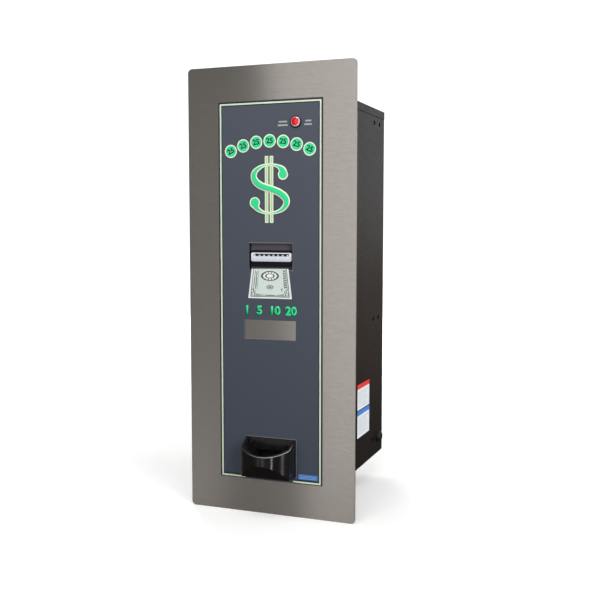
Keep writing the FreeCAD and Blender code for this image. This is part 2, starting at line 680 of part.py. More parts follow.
def trim_plate():
    part = body("trim_sheet", y="-plate_sheet", kept=False)
    face = sketch(part, "XZ")
    half_wide, half_tall = "plate_wide / 2", "plate_tall / 2"
    rounded(face, f"-{half_wide}", f"-{half_tall}", half_wide, half_tall, "plate_corner")
    pad(part, face, "plate_sheet")
    openings = sketch(part, "XZ")
    circle(openings, "lamp_side", LAMP_LEVEL, "lamp_barrel + lamp_fit")
    centred(openings, "mouth_wide", "mouth_tall", "bill_side", "mouth_level")
    inlet_top = f"{CUP_TOP} - inlet_drop + chute_sheet"
    inlet_low = f"{CUP_TOP} - inlet_drop - inlet_tall - chute_sheet"
    half_inlet = "(inlet_wide / 2 + chute_sheet + chute_fit)"
    rectangle(openings, f"cup_side - {half_inlet}", inlet_low, f"cup_side + {half_inlet}", inlet_top)
    for side in (-1, 1):
        circle(openings, f"cup_side + {side} * cup_screw_side", f"{CUP_TOP} - cup_screw_drop",
               "cup_screw + cup_screw_fit")
    cut_through(part, openings)
    seat = sketch(part, "XZ", "plate_sheet")
    centred(seat, f"({CAP_WIDE} + 2 * seat_gap)", f"({CABINET_TALL} + 2 * seat_gap)")
    cut(part, seat, "seat_deep", toward=-1)
    studs = [rod("stud_size", "stud_long", x, "-seat_deep", z, "Y") for x, z in stud_spots()]
    keep(group([part] + studs), "trim_plate")


def graphics_overlay():
    part = body("graphics_overlay", y=FILM_FACE)
    face = sketch(part, "XZ")
    centred(face, "film_wide", "film_tall")
    pad(part, face, "film_thick")
    openings = sketch(part, "XZ")
    circle(openings, "lamp_side", LAMP_LEVEL, "lamp_barrel + lamp_fit")
    centred(openings, "(mouth_wide + 2 * film_relief)", "(mouth_tall + 2 * film_relief)", "bill_side", "mouth_level")
    centred(openings, "(cup_flange + 2 * film_relief)", "(cup_tall + 2 * film_relief)", "cup_side",
            f"({CUP_TOP} - cup_tall / 2)")
    centred(openings, "window_wide", "window_tall", 0, "window_level")
    cut_through(part, openings)


def lamp():
    """Panel lamp: ring and barrel in one, a domed lens in the ring, and the nut behind the plate."""
    holder = body("lamp_body", "lamp_side", FILM_FACE, LAMP_LEVEL)
    section = sketch(holder, "XY")
    seat = "lamp_lens + lamp_fit"
    polygon(section, [
        (0, "-lamp_seat"), (seat, "-lamp_seat"), (seat, "-lamp_ring_thick"),
        ("lamp_ring - lamp_ring_thick / 2", "-lamp_ring_thick"),
        ("lamp_ring", "-lamp_ring_thick / 2"), ("lamp_ring", 0), ("lamp_barrel", 0),
        ("lamp_barrel", "lamp_barrel_long"), (0, "lamp_barrel_long"),
    ])
    turned(holder, section)
    tabs = sketch(holder, "XZ", "lamp_barrel_long")
    for side in (-1, 1):
        centred(tabs, "lamp_tab_wide", "lamp_tab_thick", 0, f"{side} * lamp_barrel / 2")
    pad(holder, tabs, "lamp_tab_long")
    lens = body("lamp_lens", "lamp_side", f"{FILM_FACE} - lamp_seat", LAMP_LEVEL)
    dome(lens, "lamp_lens", "(lamp_ring_thick - lamp_seat)", "lamp_lens_proud")
    nut = hexagon("lamp_nut_wide", "lamp_nut_thick", "lamp_side", "-seat_deep", LAMP_LEVEL, "Y")
    hole = rod("lamp_barrel + thread_fit", "lamp_nut_thick", "lamp_side", "-seat_deep", LAMP_LEVEL, "Y")
    keep(less(nut, hole), "lamp_nut")


def dome(part, radius, side, proud):
    """A round lens towards the front with an upright side and a domed face."""
    section = sketch(part, "XY")
    rise = f"({proud} - {side})"
    sphere = f"(({radius}) ^ 2 + {rise} ^ 2) / (2 * {rise})"
    size, low, high, ball = value(radius), value(side), value(proud), value(sphere)
    lean = math.asin(size / ball) / 2
    middle = Vector(ball * math.sin(lean), ball - high - ball * math.cos(lean), 0)
    corners = [Vector(size, -low, 0), Vector(size, 0, 0), Vector(0, 0, 0), Vector(0, -high, 0)]
    for start, stop in zip(corners, corners[1:]):
        section.addGeometry(Part.LineSegment(start, stop), False)
    section.addGeometry(Part.Arc(corners[3], middle, corners[0]), False)
    spots = [(radius, f"-({side})"), (radius, 0), (0, 0), (0, f"-({proud})")]
    for index, (x, y) in enumerate(spots):
        section.addConstraint(Sketcher.Constraint("Coincident", index, 2, (index + 1) % 4, 1))
        pin(section, index, 1, x, y)
    limit(section, Sketcher.Constraint("Radius", 3, ball), sphere)
    turned(part, section)


def bill_entry():
    tray = body("entry_tray", "bill_side", "-seat_deep", "mouth_level")
    floor = f"({TRAY_FLOOR} + seat_deep)"
    outside = sketch(tray, "XZ")
    centred(outside, "(mouth_wide + 2 * tray_wall)", "(mouth_tall + 2 * tray_wall)")
    pad(tray, outside, f"{floor} + tray_wall")
    rim = sketch(tray, "XZ")
    centred(rim, "(mouth_wide + 2 * tray_rim)", "(mouth_tall + 2 * tray_rim)")
    pad(tray, rim, "tray_wall")
    recess = sketch(tray, "XZ")
    centred(recess, "mouth_wide", "mouth_tall")
    cut(tray, recess, floor)
    nose = sketch(tray, "XZ", floor)
    low = "(nose_level - mouth_level - nose_tall / 2)"
    rounded(nose, "-nose_wide / 2", low, "nose_wide / 2", f"{low} + nose_tall", "nose_round")
    pad(tray, nose, "nose_proud", toward=-1)
    hole = sketch(tray, "XZ")
    base = "(bezel_level - mouth_level - bezel_tall / 2 - bezel_fit)"
    rounded(hole, "-bezel_wide / 2 - bezel_fit", base, "bezel_wide / 2 + bezel_fit",
            f"{base} + bezel_tall + 2 * bezel_fit", "bezel_round + bezel_fit")
    cut_through(tray, hole)
    face = f"({FILM_FACE} + bezel_recess)"
    bezel = body("bill_bezel", "bill_side", face, 0)
    outline = sketch(bezel, "XZ")
    low = "(bezel_level - bezel_tall / 2)"
    rounded(outline, "-bezel_wide / 2", low, "bezel_wide / 2", f"{low} + bezel_tall", "bezel_round")
    pad(bezel, outline, f"transport_front - {face}")
    slot = sketch(bezel, "XZ")
    centred(slot, "slot_wide", "slot_tall", 0, "bill_level")
    cut_through(bezel, slot)


# Coin cup: a moulded scoop with a bowed front, a rim that falls forwards and a slanted underside

def coin_cup():
    cup = body("coin_cup", "cup_side", "-plate_sheet", CUP_LOW)
    bowl = sketch(cup, "XY")
    bow(bowl, "cup_wide / 2", 0, "cup_cheek", "cup_deep")
    pad(cup, bowl, "cup_tall")
    front = value("-cup_cheek / 2")
    blend(cup, "cup_round", Vector(0, 0, 1), lambda point: point.y < front)
    across = sketch(cup, "YZ")
    polygon(across, [
        (0, "cup_tall"), ("-2 * cup_deep", "cup_tall"), ("-2 * cup_deep", "cup_tall - 2 * cup_deep * cup_fall"),
    ])
    cut_through(cup, across)
    heel = sketch(cup, "YZ")
    polygon(heel, [
        ("-cup_cheek", 0), ("-2 * cup_deep + cup_cheek", "2 * cup_heel"), ("-2 * cup_deep + cup_cheek", 0),
    ])
    cut_through(cup, heel)
    flange = sketch(cup, "XZ")
    rounded(flange, "-cup_flange / 2", 0, "cup_flange / 2", "cup_tall", "cup_flange_thick")
    pad(cup, flange, "cup_flange_thick", toward=-1)
    inner = "(cup_wide / 2 - cup_wall)"
    sections = []
    for level, lean, cheek, deep in (
        ("cup_wall", "cup_taper", "(cup_cheek - cup_floor_back)", "(cup_cheek - cup_wall)"),
        ("cup_heel + cup_shoulder", "0.4 * cup_taper", "(cup_cheek - cup_wall)", "(cup_deep - cup_wall)"),
        ("cup_tall + 1", "0", "(cup_cheek - cup_wall)", "(cup_deep - cup_wall)"),
    ):
        section = sketch(cup, "XY", level)
        back = "(-cup_flange_thick)"
        bow(section, f"({inner} - {lean})", back, f"({cheek} + {back})", f"({deep} + {back})")
        sections.append(section)
    loft(cup, sections, add=False)
    inlet = sketch(cup, "XZ")
    centred(inlet, "inlet_wide", "inlet_tall", 0, "(cup_tall - inlet_drop - inlet_tall / 2)")
    for side in (-1, 1):
        circle(inlet, f"{side} * cup_screw_side", "cup_tall - cup_screw_drop", "cup_screw + cup_screw_fit")
    cut(cup, inlet, "2 * cup_flange_thick", toward=-1)


def cup_fixings():
    solids = []
    seat = "(-plate_sheet - cup_flange_thick)"
    z = f"{CUP_TOP} - cup_screw_drop"
    for side in (-1, 1):
        x = f"cup_side + {side} * cup_screw_side"
        head = rod("cup_screw_head", "cup_screw", x, f"{seat} - cup_screw", z, "Y")
        shank = rod("cup_screw", f"3 * cup_screw - {seat}", x, seat, z, "Y")
        nut = hexagon("cup_screw_head", "2 * cup_screw", x, "-seat_deep", z, "Y")
        hole = rod("cup_screw + thread_fit", "2 * cup_screw", x, "-seat_deep", z, "Y")
        solids += [joined([head, shank]), less(nut, hole)]
    keep(group(solids), "cup_fixings")


# Cabinet: folded sides, floor and ties welded together, closed by a cap and a rear door

def side_panel(side):
    """A side sheet with its bolt holes, on the right the gland's too, and the front and rear returns folded from it."""
    half, low = f"({CABINET_WIDE} / 2)", f"(-{CABINET_TALL} / 2)"
    long = f"({SHELL_REAR} + seat_deep)"
    rear_face = f"{long} - cabinet_sheet"
    walls = []
    for label, outer, inner, front, back in (
        ("side_sheet", "0", "cabinet_sheet", "0", long),
        ("front_return", "cabinet_sheet", "front_lip", "0", "cabinet_sheet"),
        ("rear_return", "cabinet_sheet", "rear_lip", rear_face, long),
    ):
        wall = body(label, y="-seat_deep", kept=False)
        section = sketch(wall, "XY", low)
        polygon(section, [
            (f"{side} * ({half} - {inset})", y)
            for inset, y in ((outer, front), (outer, back), (inner, back), (inner, front))
        ])
        pad(wall, section, f"({WALL_TOP} - {low})")
        walls.append(wall)
    rear = "(cabinet_deep - side_inset + seat_deep)"
    holes = sketch(walls[0], "YZ")
    for level in (f"({CABINET_TALL} / 2 - top_hole_drop)", "middle_hole_level", LOW_LEVEL):
        circle(holes, f"{rear} - side_pitch", level, "side_hole")
        if level != LOW_LEVEL:
            circle(holes, rear, level, "side_hole")
    circle(holes, rear, LOW_LEVEL, "side_hole" if side < 0 else "gland_thread + gland_fit")
    cut_through(walls[0], holes)
    studs = sketch(walls[1], "XZ")
    for x, z in stud_spots():
        if x.startswith(f"{side} "):
            circle(studs, x, z, "stud_size + stud_fit")
    cut(walls[1], studs, "2 * cabinet_sheet")
    return walls


def cabinet_shell():
    half, low = f"({CABINET_WIDE} / 2)", f"(-{CABINET_TALL} / 2)"
    long = f"({SHELL_REAR} + seat_deep)"
    floor = block(f"2 * {SIDE_INNER}", f"({long} - 2 * cabinet_sheet)", "cabinet_sheet",
                  f"-{SIDE_INNER}", "cabinet_sheet - seat_deep", low)
    lips = []
    for lip, at in (("front_lip", "0"), ("rear_lip", f"({long} - cabinet_sheet)")):
        side = f"({half} - {lip})"
        for level in (low, f"{WALL_TOP} - {lip}"):
            lips.append(block(f"2 * {side}", "cabinet_sheet", lip, f"-{side}", f"{at} - seat_deep", level))
    keep(group(side_panel(-1) + side_panel(1) + [floor] + lips), "cabinet_shell")


def stud_spots():
    """Places of the plate studs, in the middle of the front returns."""
    across = f"({CABINET_WIDE} / 2 - front_lip / 2)"
    rows = round(value("stud_rows"))
    return [
        (f"{side} * {across}", f"{row - (rows - 1) / 2} * stud_pitch")
        for side in (-1, 1) for row in range(rows)
    ]


def plate_nuts():
    seat = "(cabinet_sheet - seat_deep)"
    nuts = []
    for x, z in stud_spots():
        hole = rod("stud_size + thread_fit", "nut_thick", x, seat, z, "Y")
        nuts.append(less(hexagon("nut_wide", "nut_thick", x, seat, z, "Y"), hole))
    keep(group(nuts), "plate_nuts")


def cabinet_cap():
    cap = body("cabinet_cap", y="-seat_deep")
    half, top = f"({CAP_WIDE} / 2)", f"({CABINET_TALL} / 2)"
    section = sketch(cap, "XZ")
    polygon(section, [
        (f"-{half}", top), (f"-{half}", f"{top} - cap_drop"), (f"-{half} + cap_sheet", f"{top} - cap_drop"),
        (f"-{half} + cap_sheet", f"{top} - cap_sheet"), (f"{half} - cap_sheet", f"{top} - cap_sheet"),
        (f"{half} - cap_sheet", f"{top} - cap_drop"), (half, f"{top} - cap_drop"), (half, top),
    ])
    pad(cap, section, f"{SHELL_REAR} + seat_deep")


def cord_gland():
    wall = f"({CABINET_WIDE} / 2)"
    rear = "(cabinet_deep - side_inset)"
    gland = body("gland_body", wall, rear, LOW_LEVEL)
    section = sketch(gland, "XY")
    inside = "(-cabinet_sheet - gland_inside)"
    polygon(section, [
        (inside, "gland_bore"), (inside, "gland_thread"), (0, "gland_thread"), (0, "gland_head"),
        ("gland_proud / 2", "gland_head"), ("gland_proud", "gland_head - gland_proud / 3"),
        ("gland_proud", "gland_bore"),
    ])
    turned(gland, section, "H_Axis")
    start = f"({wall} - cabinet_sheet - gland_nut_thick)"
    nut = hexagon("gland_nut_wide", "gland_nut_thick", start, rear, LOW_LEVEL, "X")
    hole = rod("gland_thread + thread_fit", "gland_nut_thick", start, rear, LOW_LEVEL, "X")
    keep(less(nut, hole), "gland_nut")


def rear_door():
    door = body("rear_door", y="cabinet_deep - door_sheet")
    half, tall = f"({CABINET_WIDE} / 2)", f"({CABINET_TALL} / 2)"
    face = sketch(door, "XZ")
    rectangle(face, f"-{half} + hinge_relief", f"-{tall}", half, tall)
    pad(door, face, "door_sheet")
    inner = f"({half} - rear_lip - door_inset)"
    upper = f"({WALL_TOP} - rear_lip - door_inset)"
    lower = f"(-{tall} + rear_lip + door_inset)"
    fold = sketch(door, "XZ")
    rectangle(fold, f"-{inner}", lower, inner, upper)
    rectangle(fold, f"-{inner} + cabinet_sheet", f"{lower} + cabinet_sheet", f"{inner} - cabinet_sheet",
              f"{upper} - cabinet_sheet")
    pad(door, fold, "door_return", toward=-1)
    notch = sketch(door, "XZ", "-door_return")
    reach = "(cam_long + door_inset)"
    rectangle(notch, f"{inner} - 2 * cabinet_sheet", f"-{reach}", f"{inner} + cabinet_sheet", reach)
    cut(door, notch, "door_return")
    hole = sketch(door, "XZ")
    circle(hole, LOCK_SIDE, 0, "lock_barrel + lock_hole_fit")
    cut_through(door, hole)


def hinge():
    """A long hinge: knuckles of the two leaves take turns along one pin."""
    count = round(value("hinge_knuckles"))
    pitch = "(hinge_long / hinge_knuckles)"
    leaves = {"hinge_frame_leaf": 0, "hinge_door_leaf": 1}
    clear = "(hinge_knuckle + hinge_relief)"
    wall = f"(-{CABINET_WIDE} / 2)"
    for label, first in leaves.items():
        if first == 0:
            plate = block("hinge_leaf", f"hinge_leaf_wide - {clear}", "hinge_long", f"{wall} - hinge_leaf",
                          f"{HINGE_Y} - hinge_leaf_wide", "-hinge_long / 2")
        else:
            plate = block(f"hinge_leaf_wide - {clear}", "hinge_leaf", "hinge_long", f"{HINGE_X} + {clear}",
                          "cabinet_deep", "-hinge_long / 2")
        solids = [plate]
        for knuckle in range(first, count, 2):
            low = f"(-hinge_long / 2 + {knuckle} * {pitch} + hinge_space / 2)"
            long = f"({pitch} - hinge_space)"
            solids.append(rod("hinge_knuckle", long, HINGE_X, HINGE_Y, low))
            if first == 0:
                solids.append(block("hinge_leaf", clear, long, f"{wall} - hinge_leaf", f"{HINGE_Y} - {clear}", low))
            else:
                solids.append(block(clear, "hinge_leaf", long, HINGE_X, "cabinet_deep", low))
        bore = rod("hinge_pin + hinge_fit", "hinge_long", HINGE_X, HINGE_Y, "-hinge_long / 2")
        keep(less(joined(solids), bore), label)
    keep(rod("hinge_pin", "hinge_long", HINGE_X, HINGE_Y, "-hinge_long / 2"), "hinge_pin")


def lock():
    """T-handle lock: housing in the door, shaft with its bar outside and its cam inside."""
    rear = "cabinet_deep"
    shell = joined([
        rod("lock_flange", "lock_flange_thick", LOCK_SIDE, rear, 0, "Y"),
        rod("lock_barrel", f"{rear} - {CAM_REAR} - cam_gap / 2", LOCK_SIDE, f"{CAM_REAR} + cam_gap / 2", 0, "Y"),
    ])
    bore = rod("lock_shaft + lock_fit", "2 * cabinet_deep", LOCK_SIDE, 0, 0, "Y")
    keep(less(shell, bore), "lock_housing")
    bar_front = "(cabinet_deep + lock_flange_thick + handle_stand)"
    bar = body("t_handle", LOCK_SIDE, bar_front, 0)
    outline = sketch(bar, "XZ")
    rounded(outline, "-handle_wide / 2", "-handle_tall / 2", "handle_wide / 2", "handle_tall / 2",
            "handle_tall / 2 - 0.5")
    pad(bar, outline, "handle_thick")
    stem = sketch(bar, "XZ")
    circle(stem, 0, 0, "lock_shaft")
    cam_front = f"({CAM_REAR} - cam_thick)"
    pad(bar, stem, f"{bar_front} - {cam_front}", toward=-1)
    end = sketch(bar, "XZ")
    circle(end, 0, 0, "lock_thread")
    pad(bar, end, f"{bar_front} - {cam_front} + nut_thick + thread_over", toward=-1)
    cam = body("latch_cam", LOCK_SIDE, cam_front, 0)
    blade = sketch(cam, "XZ")
    polygon(blade, [
        ("-cam_wide / 2", "cam_wide / 2"), ("-cam_wide / 2", "-cam_long + cam_wide / 4"),
        ("-cam_wide / 4", "-cam_long"), ("cam_wide / 4", "-cam_long"),
        ("cam_wide / 2", "-cam_long + cam_wide / 4"), ("cam_wide / 2", "cam_wide / 2"),
    ])
    pad(cam, blade, "cam_thick")
    eye = sketch(cam, "XZ")
    circle(eye, 0, 0, "lock_shaft + thread_fit")
    cut_through(cam, eye)
    nut = hexagon("cam_nut_wide", "nut_thick", LOCK_SIDE, f"{cam_front} - nut_thick", 0, "Y")
    hole = rod("lock_thread + thread_fit", "nut_thick", LOCK_SIDE, f"{cam_front} - nut_thick", 0, "Y")
    keep(less(nut, hole), "cam_nut")


# Bill transport: two housings with the note's path between them, belts on two roller shafts

def transport_lower():
    part = body("transport_lower", "bill_side - transport_wide / 2", 0, 0)
    top, front = "(bill_level - path_half)", "transport_front"
    rear = f"({MAGAZINE_FRONT} + turn_wall)"
    lip = f"({CHASSIS_LOW} + magazine_rise)"
    side = sketch(part, "YZ")
    polygon(side, [
        (front, top), (front, f"{top} - transport_low / 2"), (f"{front} + transport_low / 3", f"{top} - transport_low"),
        (rear, f"{top} - transport_low"), (rear, lip), (MAGAZINE_FRONT, lip),
        (MAGAZINE_FRONT, f"{top} + turn_wall"), (f"{MAGAZINE_FRONT} - turn_wall", top),
    ])
    pad(part, side, "transport_wide")
    rail = "((transport_wide - path_wide) / 2)"
    for left in ("0", f"transport_wide - {rail}"):
        edge = sketch(part, "YZ", left)
        rectangle(edge, front, top, f"{front} + transport_deep", f"{top} + 2 * path_half")
        pad(part, edge, rail)
    hollow = sketch(part, "XY", f"{top} - transport_low")
    rectangle(hollow, "transport_wall", f"{front} + transport_low / 3 + transport_wall",
              "transport_wide - transport_wall", f"{rear} - transport_wall - turn_wall")
    cut(part, hollow, "transport_low - transport_wall")


def roller_places():
    first = "(transport_front + roller_first)"
    return first, f"({first} + roller_span)"


def transport_upper():
    low = "(bill_level + path_half)"
    part = body("transport_upper", "bill_side", "transport_front", low)
    half = "(transport_wide / 2)"
    outline = sketch(part, "XY")
    rectangle(outline, f"-{half}", 0, half, "transport_deep")
    pad(part, outline, "transport_high")
    hollow = sketch(part, "XY", "transport_wall")
    rectangle(hollow, f"-{half} + transport_wall", "transport_wall", f"{half} - transport_wall",
              "transport_deep - transport_wall")
    cut(part, hollow, "transport_high")
    reach = "(roller_size + belt_fit + belt_thick + belt_side_gap)"
    windows = sketch(part, "XY")
    for side in (-1, 1):
        centre, wide = f"({side} * belt_pitch)", "(belt_wide / 2 + belt_side_gap)"
        rectangle(windows, f"{centre} - {wide}", f"roller_first - {reach}", f"{centre} + {wide}",
                  f"roller_first + roller_span + {reach}")
    cut(part, windows, "transport_wall")
    bores = sketch(part, "YZ")
    for along in ("roller_first", "roller_first + roller_span"):
        circle(bores, along, f"{ROLLER_LEVEL} - {low}", "roller_shaft + roller_fit")
    cut_through(part, bores)


def rollers():
    for label, y, reach in zip(("drive_shaft", "idler_shaft"), roller_places(),
                               ("chassis_wide / 2 + gear_stand + gear_face", "transport_wide / 2")):
        solids = [rod("roller_shaft", f"transport_wide / 2 + {reach}", "bill_side - transport_wide / 2", y,
                      ROLLER_LEVEL, "X")]
        for side in (-1, 1):
            left = f"bill_side + {side} * belt_pitch - belt_wide / 2"
            solids.append(rod("roller_size", "belt_wide", left, y, ROLLER_LEVEL, "X"))
        keep(joined(solids), label)


def belts():
    near, far = roller_places()
    loops = []
    for side in (-1, 1):
        left = f"bill_side + {side} * belt_pitch - belt_wide / 2"
        forms = []
        for radius in ("(roller_size + belt_fit + belt_thick)", "(roller_size + belt_fit)"):
            ends = [rod(radius, "belt_wide", left, y, ROLLER_LEVEL, "X") for y in (near, far)]
            span = block("belt_wide", f"{far} - {near}", f"2 * {radius}", left, near, f"{ROLLER_LEVEL} - {radius}")
            forms.append(joined(ends + [span]))
        loops.append(less(*forms))
    keep(group(loops), "transport_belts")


def transport_gears():
    near, far = roller_places()
    x = "bill_side + chassis_wide / 2 + gear_stand"
    involute_gear("drive_gear", "drive_teeth", "gear_module", "gear_face", (x, near, ROLLER_LEVEL), "X",
                  bore="roller_shaft")
    level = f"({ROLLER_LEVEL} + gear_module * (drive_teeth + motor_teeth) / 2)"
    pinion = involute_gear("pinion_teeth_x", "motor_teeth", "gear_module", "gear_face", (x, near, level), "X",
                           turn=math.pi / round(value("motor_teeth")), kept=False)
    inner = "(bill_side + chassis_wide / 2 - chassis_sheet)"
    start = f"{inner} - transport_motor_long"
    barrel = rod("transport_motor", "transport_motor_long", start, near, level, "X")
    bore = rod("motor_shaft + motor_fit", "transport_motor_long", start, near, level, "X")
    keep(less(barrel, bore), "transport_motor")
    reach = "transport_motor_long + chassis_sheet + gear_stand + gear_face"
    keep(joined([pinion, rod("motor_shaft", reach, start, near, level, "X")]), "transport_pinion")


# Stacker and note magazine

def stacker_chassis():
    part = body("stacker_chassis", "bill_side", "transport_front", CHASSIS_LOW)
    half, inner = "(chassis_wide / 2)", "(chassis_wide / 2 - chassis_sheet)"
    outline = sketch(part, "XY")
    rectangle(outline, f"-{half}", 0, half, "chassis_deep")
    pad(part, outline, "chassis_tall")
    hollow = sketch(part, "XZ", "chassis_sheet")
    rectangle(hollow, f"-{inner}", "chassis_sheet", inner, "chassis_tall - chassis_sheet")
    cut(part, hollow, "chassis_deep")
    path = sketch(part, "XY")
    rectangle(path, "-path_wide / 2", "transport_deep", "path_wide / 2", "chassis_deep + 1")
    cut(part, path, "chassis_sheet")
    holes = sketch(part, "YZ")
    circle(holes, "roller_first", f"{ROLLER_LEVEL} + gear_module * (drive_teeth + motor_teeth) / 2 - {CHASSIS_LOW}",
           "motor_shaft + motor_hole")
    cut(part, holes, "chassis_wide")


def stacker():
    face = f"({MAGAZINE_FRONT} - pusher_back)"
    rods = [
        rod("pusher_rod", "pusher_rod_long", "bill_side", f"{face} - pusher_thick - pusher_rod_long",
            f"{CHASSIS_MIDDLE} + {side} * pusher_rod_pitch", "Y")
        for side in (-1, 1)
    ]
    plate = block("pusher_wide", "pusher_thick", "pusher_tall", "bill_side - pusher_wide / 2", f"{face} - pusher_thick",
                  f"{CHASSIS_MIDDLE} - pusher_tall / 2")
    keep(joined([plate] + rods), "stacker_pusher")
    front = f"({MAGAZINE_FRONT} - guide_back - guide_deep)"
    guide = body("pusher_guide", "bill_side", front, CHASSIS_MIDDLE)
    outline = sketch(guide, "XZ")
    centred(outline, "(chassis_wide - 2 * chassis_sheet)", "guide_tall")
    pad(guide, outline, "guide_deep")
    bores = sketch(guide, "XZ")
    for side in (-1, 1):
        circle(bores, 0, f"{side} * pusher_rod_pitch", "pusher_rod + roller_fit")
        centred(bores, "guide_tall / 5", "guide_tall / 2", f"{side} * chassis_wide / 3", 0)
    circle(bores, 0, 0, "stacker_motor + motor_hole")
    cut_through(guide, bores)
    start = "(transport_front + chassis_sheet)"
    keep(rod("stacker_motor", f"{front} + guide_deep - {start}", "bill_side", start, CHASSIS_MIDDLE, "Y"),
         "stacker_motor")


def magazine():
    part = body("note_magazine", "bill_side", MAGAZINE_FRONT, f"{CHASSIS_LOW} + magazine_rise")
    half = "(chassis_wide / 2)"
    outline = sketch(part, "XY")
    rectangle(outline, f"-{half}", 0, half, "magazine_deep")
    pad(part, outline, "magazine_tall")
    hollow = sketch(part, "XY", "magazine_wall")
    rectangle(hollow, f"-{half} + magazine_wall", "magazine_wall", f"{half} - magazine_wall",
              "magazine_deep - magazine_wall")
    cut(part, hollow, "magazine_tall")
    window = sketch(part, "XZ")
    rectangle(window, "-magazine_window / 2", "magazine_wall", "magazine_window / 2", "magazine_tall + 1")
    cut(part, window, "magazine_wall")
    knuckle = sketch(part, "YZ", "-lid_hinge_long / 2")
    axis_y, axis_z = "(magazine_deep + lid_hinge)", "(magazine_tall + magazine_lid / 2)"
    polygon(knuckle, [
        ("magazine_deep", f"{axis_z} - 3 * lid_hinge"), (f"{axis_y} + lid_hinge", f"{axis_z} - lid_hinge"),
        (f"{axis_y} + lid_hinge", f"{axis_z} + lid_hinge / 2"), (f"{axis_y} + lid_hinge / 2", f"{axis_z} + lid_hinge"),
        (f"{axis_y} - lid_hinge / 2", f"{axis_z} + lid_hinge"), ("magazine_deep", "magazine_tall"),
    ])
    pad(part, knuckle, "lid_hinge_long")
    pivot = sketch(part, "YZ", f"-{half}")
    circle(pivot, axis_y, axis_z, "lid_pin")
    pad(part, pivot, "chassis_wide")


def magazine_lid():
    top = f"({CHASSIS_LOW} + magazine_rise + magazine_tall)"
    y = f"({MAGAZINE_FRONT} + magazine_deep + lid_hinge)"
    z = f"({top} + magazine_lid / 2)"
    front = f"({MAGAZINE_FRONT} + lid_gap)"
    half = "(chassis_wide / 2)"
    solids = [block("chassis_wide", "magazine_deep - 2 * lid_gap", "magazine_lid", f"bill_side - {half}", front, top)]
    cheek = f"({half} - lid_hinge_long / 2 - lid_gap)"
    for left in (f"bill_side - {half}", f"bill_side + {half} - {cheek}"):
        solids.append(rod("lid_hinge", cheek, left, y, z, "X"))
        solids.append(block(cheek, "lid_hinge + 2 * lid_gap", "magazine_lid", left, f"{y} - lid_hinge - 2 * lid_gap",
                            top))
    bore = rod("lid_pin + hinge_fit", "chassis_wide", f"bill_side - {half}", y, z, "X")
    keep(less(joined(solids), bore), "magazine_lid")


def pressure_plate():
    low = f"({CHASSIS_LOW} + magazine_rise + magazine_wall + plate_gap)"
    tall = "(magazine_tall - magazine_wall - 8 * plate_gap)"
    part = body("pressure_plate", "bill_side", PRESSURE_FRONT, low)
    outline = sketch(part, "XZ")
    rounded(outline, f"-{PRESSURE_HALF}", 0, PRESSURE_HALF, tall, "2 * pressure_thick")
    pad(part, outline, "pressure_thick")
    rear = f"({PRESSURE_FRONT} + pressure_thick)"
    long = f"({MAGAZINE_FRONT} + magazine_deep - magazine_wall - {rear})"
    spring = tube("spring_size", "spring_size - spring_wire", long, "bill_side", rear,
                  f"{low} + {tall} / 2", "Y")
    keep(spring, "pressure_spring")


# Coin hopper: base with a well and an exit, turning disc, gears, sprung finger, bin and chute

def hopper_shelf():
    part = body("hopper_shelf", z=f"{SHELF_LEVEL} - shelf_sheet")
    top = sketch(part, "XY")
    rectangle(top, f"-{SIDE_INNER}", "shelf_front", SIDE_INNER, "shelf_front + shelf_deep")
    pad(part, top, "shelf_sheet")
    for left in (f"-{SIDE_INNER}", f"{SIDE_INNER} - shelf_sheet"):
        fold = sketch(part, "XY")
        rectangle(fold, left, "shelf_front", f"{left} + shelf_sheet", "shelf_front + shelf_deep")
        pad(part, fold, "shelf_drop", toward=-1)


def hopper_base():
    part = body("hopper_base", y="shelf_front", z=SHELF_LEVEL)
    half = "(base_wide / 2)"
    outline = sketch(part, "XY")
    rounded(outline, f"-{half}", 0, half, "base_deep", "base_round")
    pad(part, outline, "base_tall")
    hollow = sketch(part, "XY")
    rectangle(hollow, f"-{half} + base_wall", "base_wall", f"{half} - base_wall", "base_deep - base_wall")
    cut(part, hollow, "base_tall - base_roof")
    well = sketch(part, "XY", "base_tall")
    circle(well, 0, "disc_back", "disc_size + disc_gap")
    cut(part, well, "well_deep", toward=-1)
    channel = sketch(part, "XY", "base_tall")
    rectangle(channel, "-exit_wide / 2", 0, "exit_wide / 2", "disc_back - disc_size")
    cut(part, channel, "well_deep", toward=-1)
    pocket = sketch(part, "XY", "base_tall")
    rectangle(pocket, "-exit_wide / 2 - pocket_side", "arm_finger_back - pocket_half", "-exit_wide / 4",
              "arm_finger_back + pocket_half")
    cut(part, pocket, "well_deep", toward=-1)
    bore = sketch(part, "XY")
    circle(bore, 0, "disc_back", "bush_size")
    cut_through(part, bore)
    for side in (-1, 1):
        post = sketch(part, "XY", "base_tall - base_roof")
        circle(post, f"{side} * motor_post_side", f"disc_back + {HOPPER_CENTRES}", "motor_post")
        pad(part, post, "2 * gear_drop + hopper_gear_face", toward=-1)
    for x, y in (("-arm_side", "arm_back"), ("-arm_side - spring_reach", "arm_spring_back")):
        peg = sketch(part, "XY", "base_tall")
        circle(peg, x, y, "arm_pin")
        pad(part, peg, "arm_thick + peg_over")


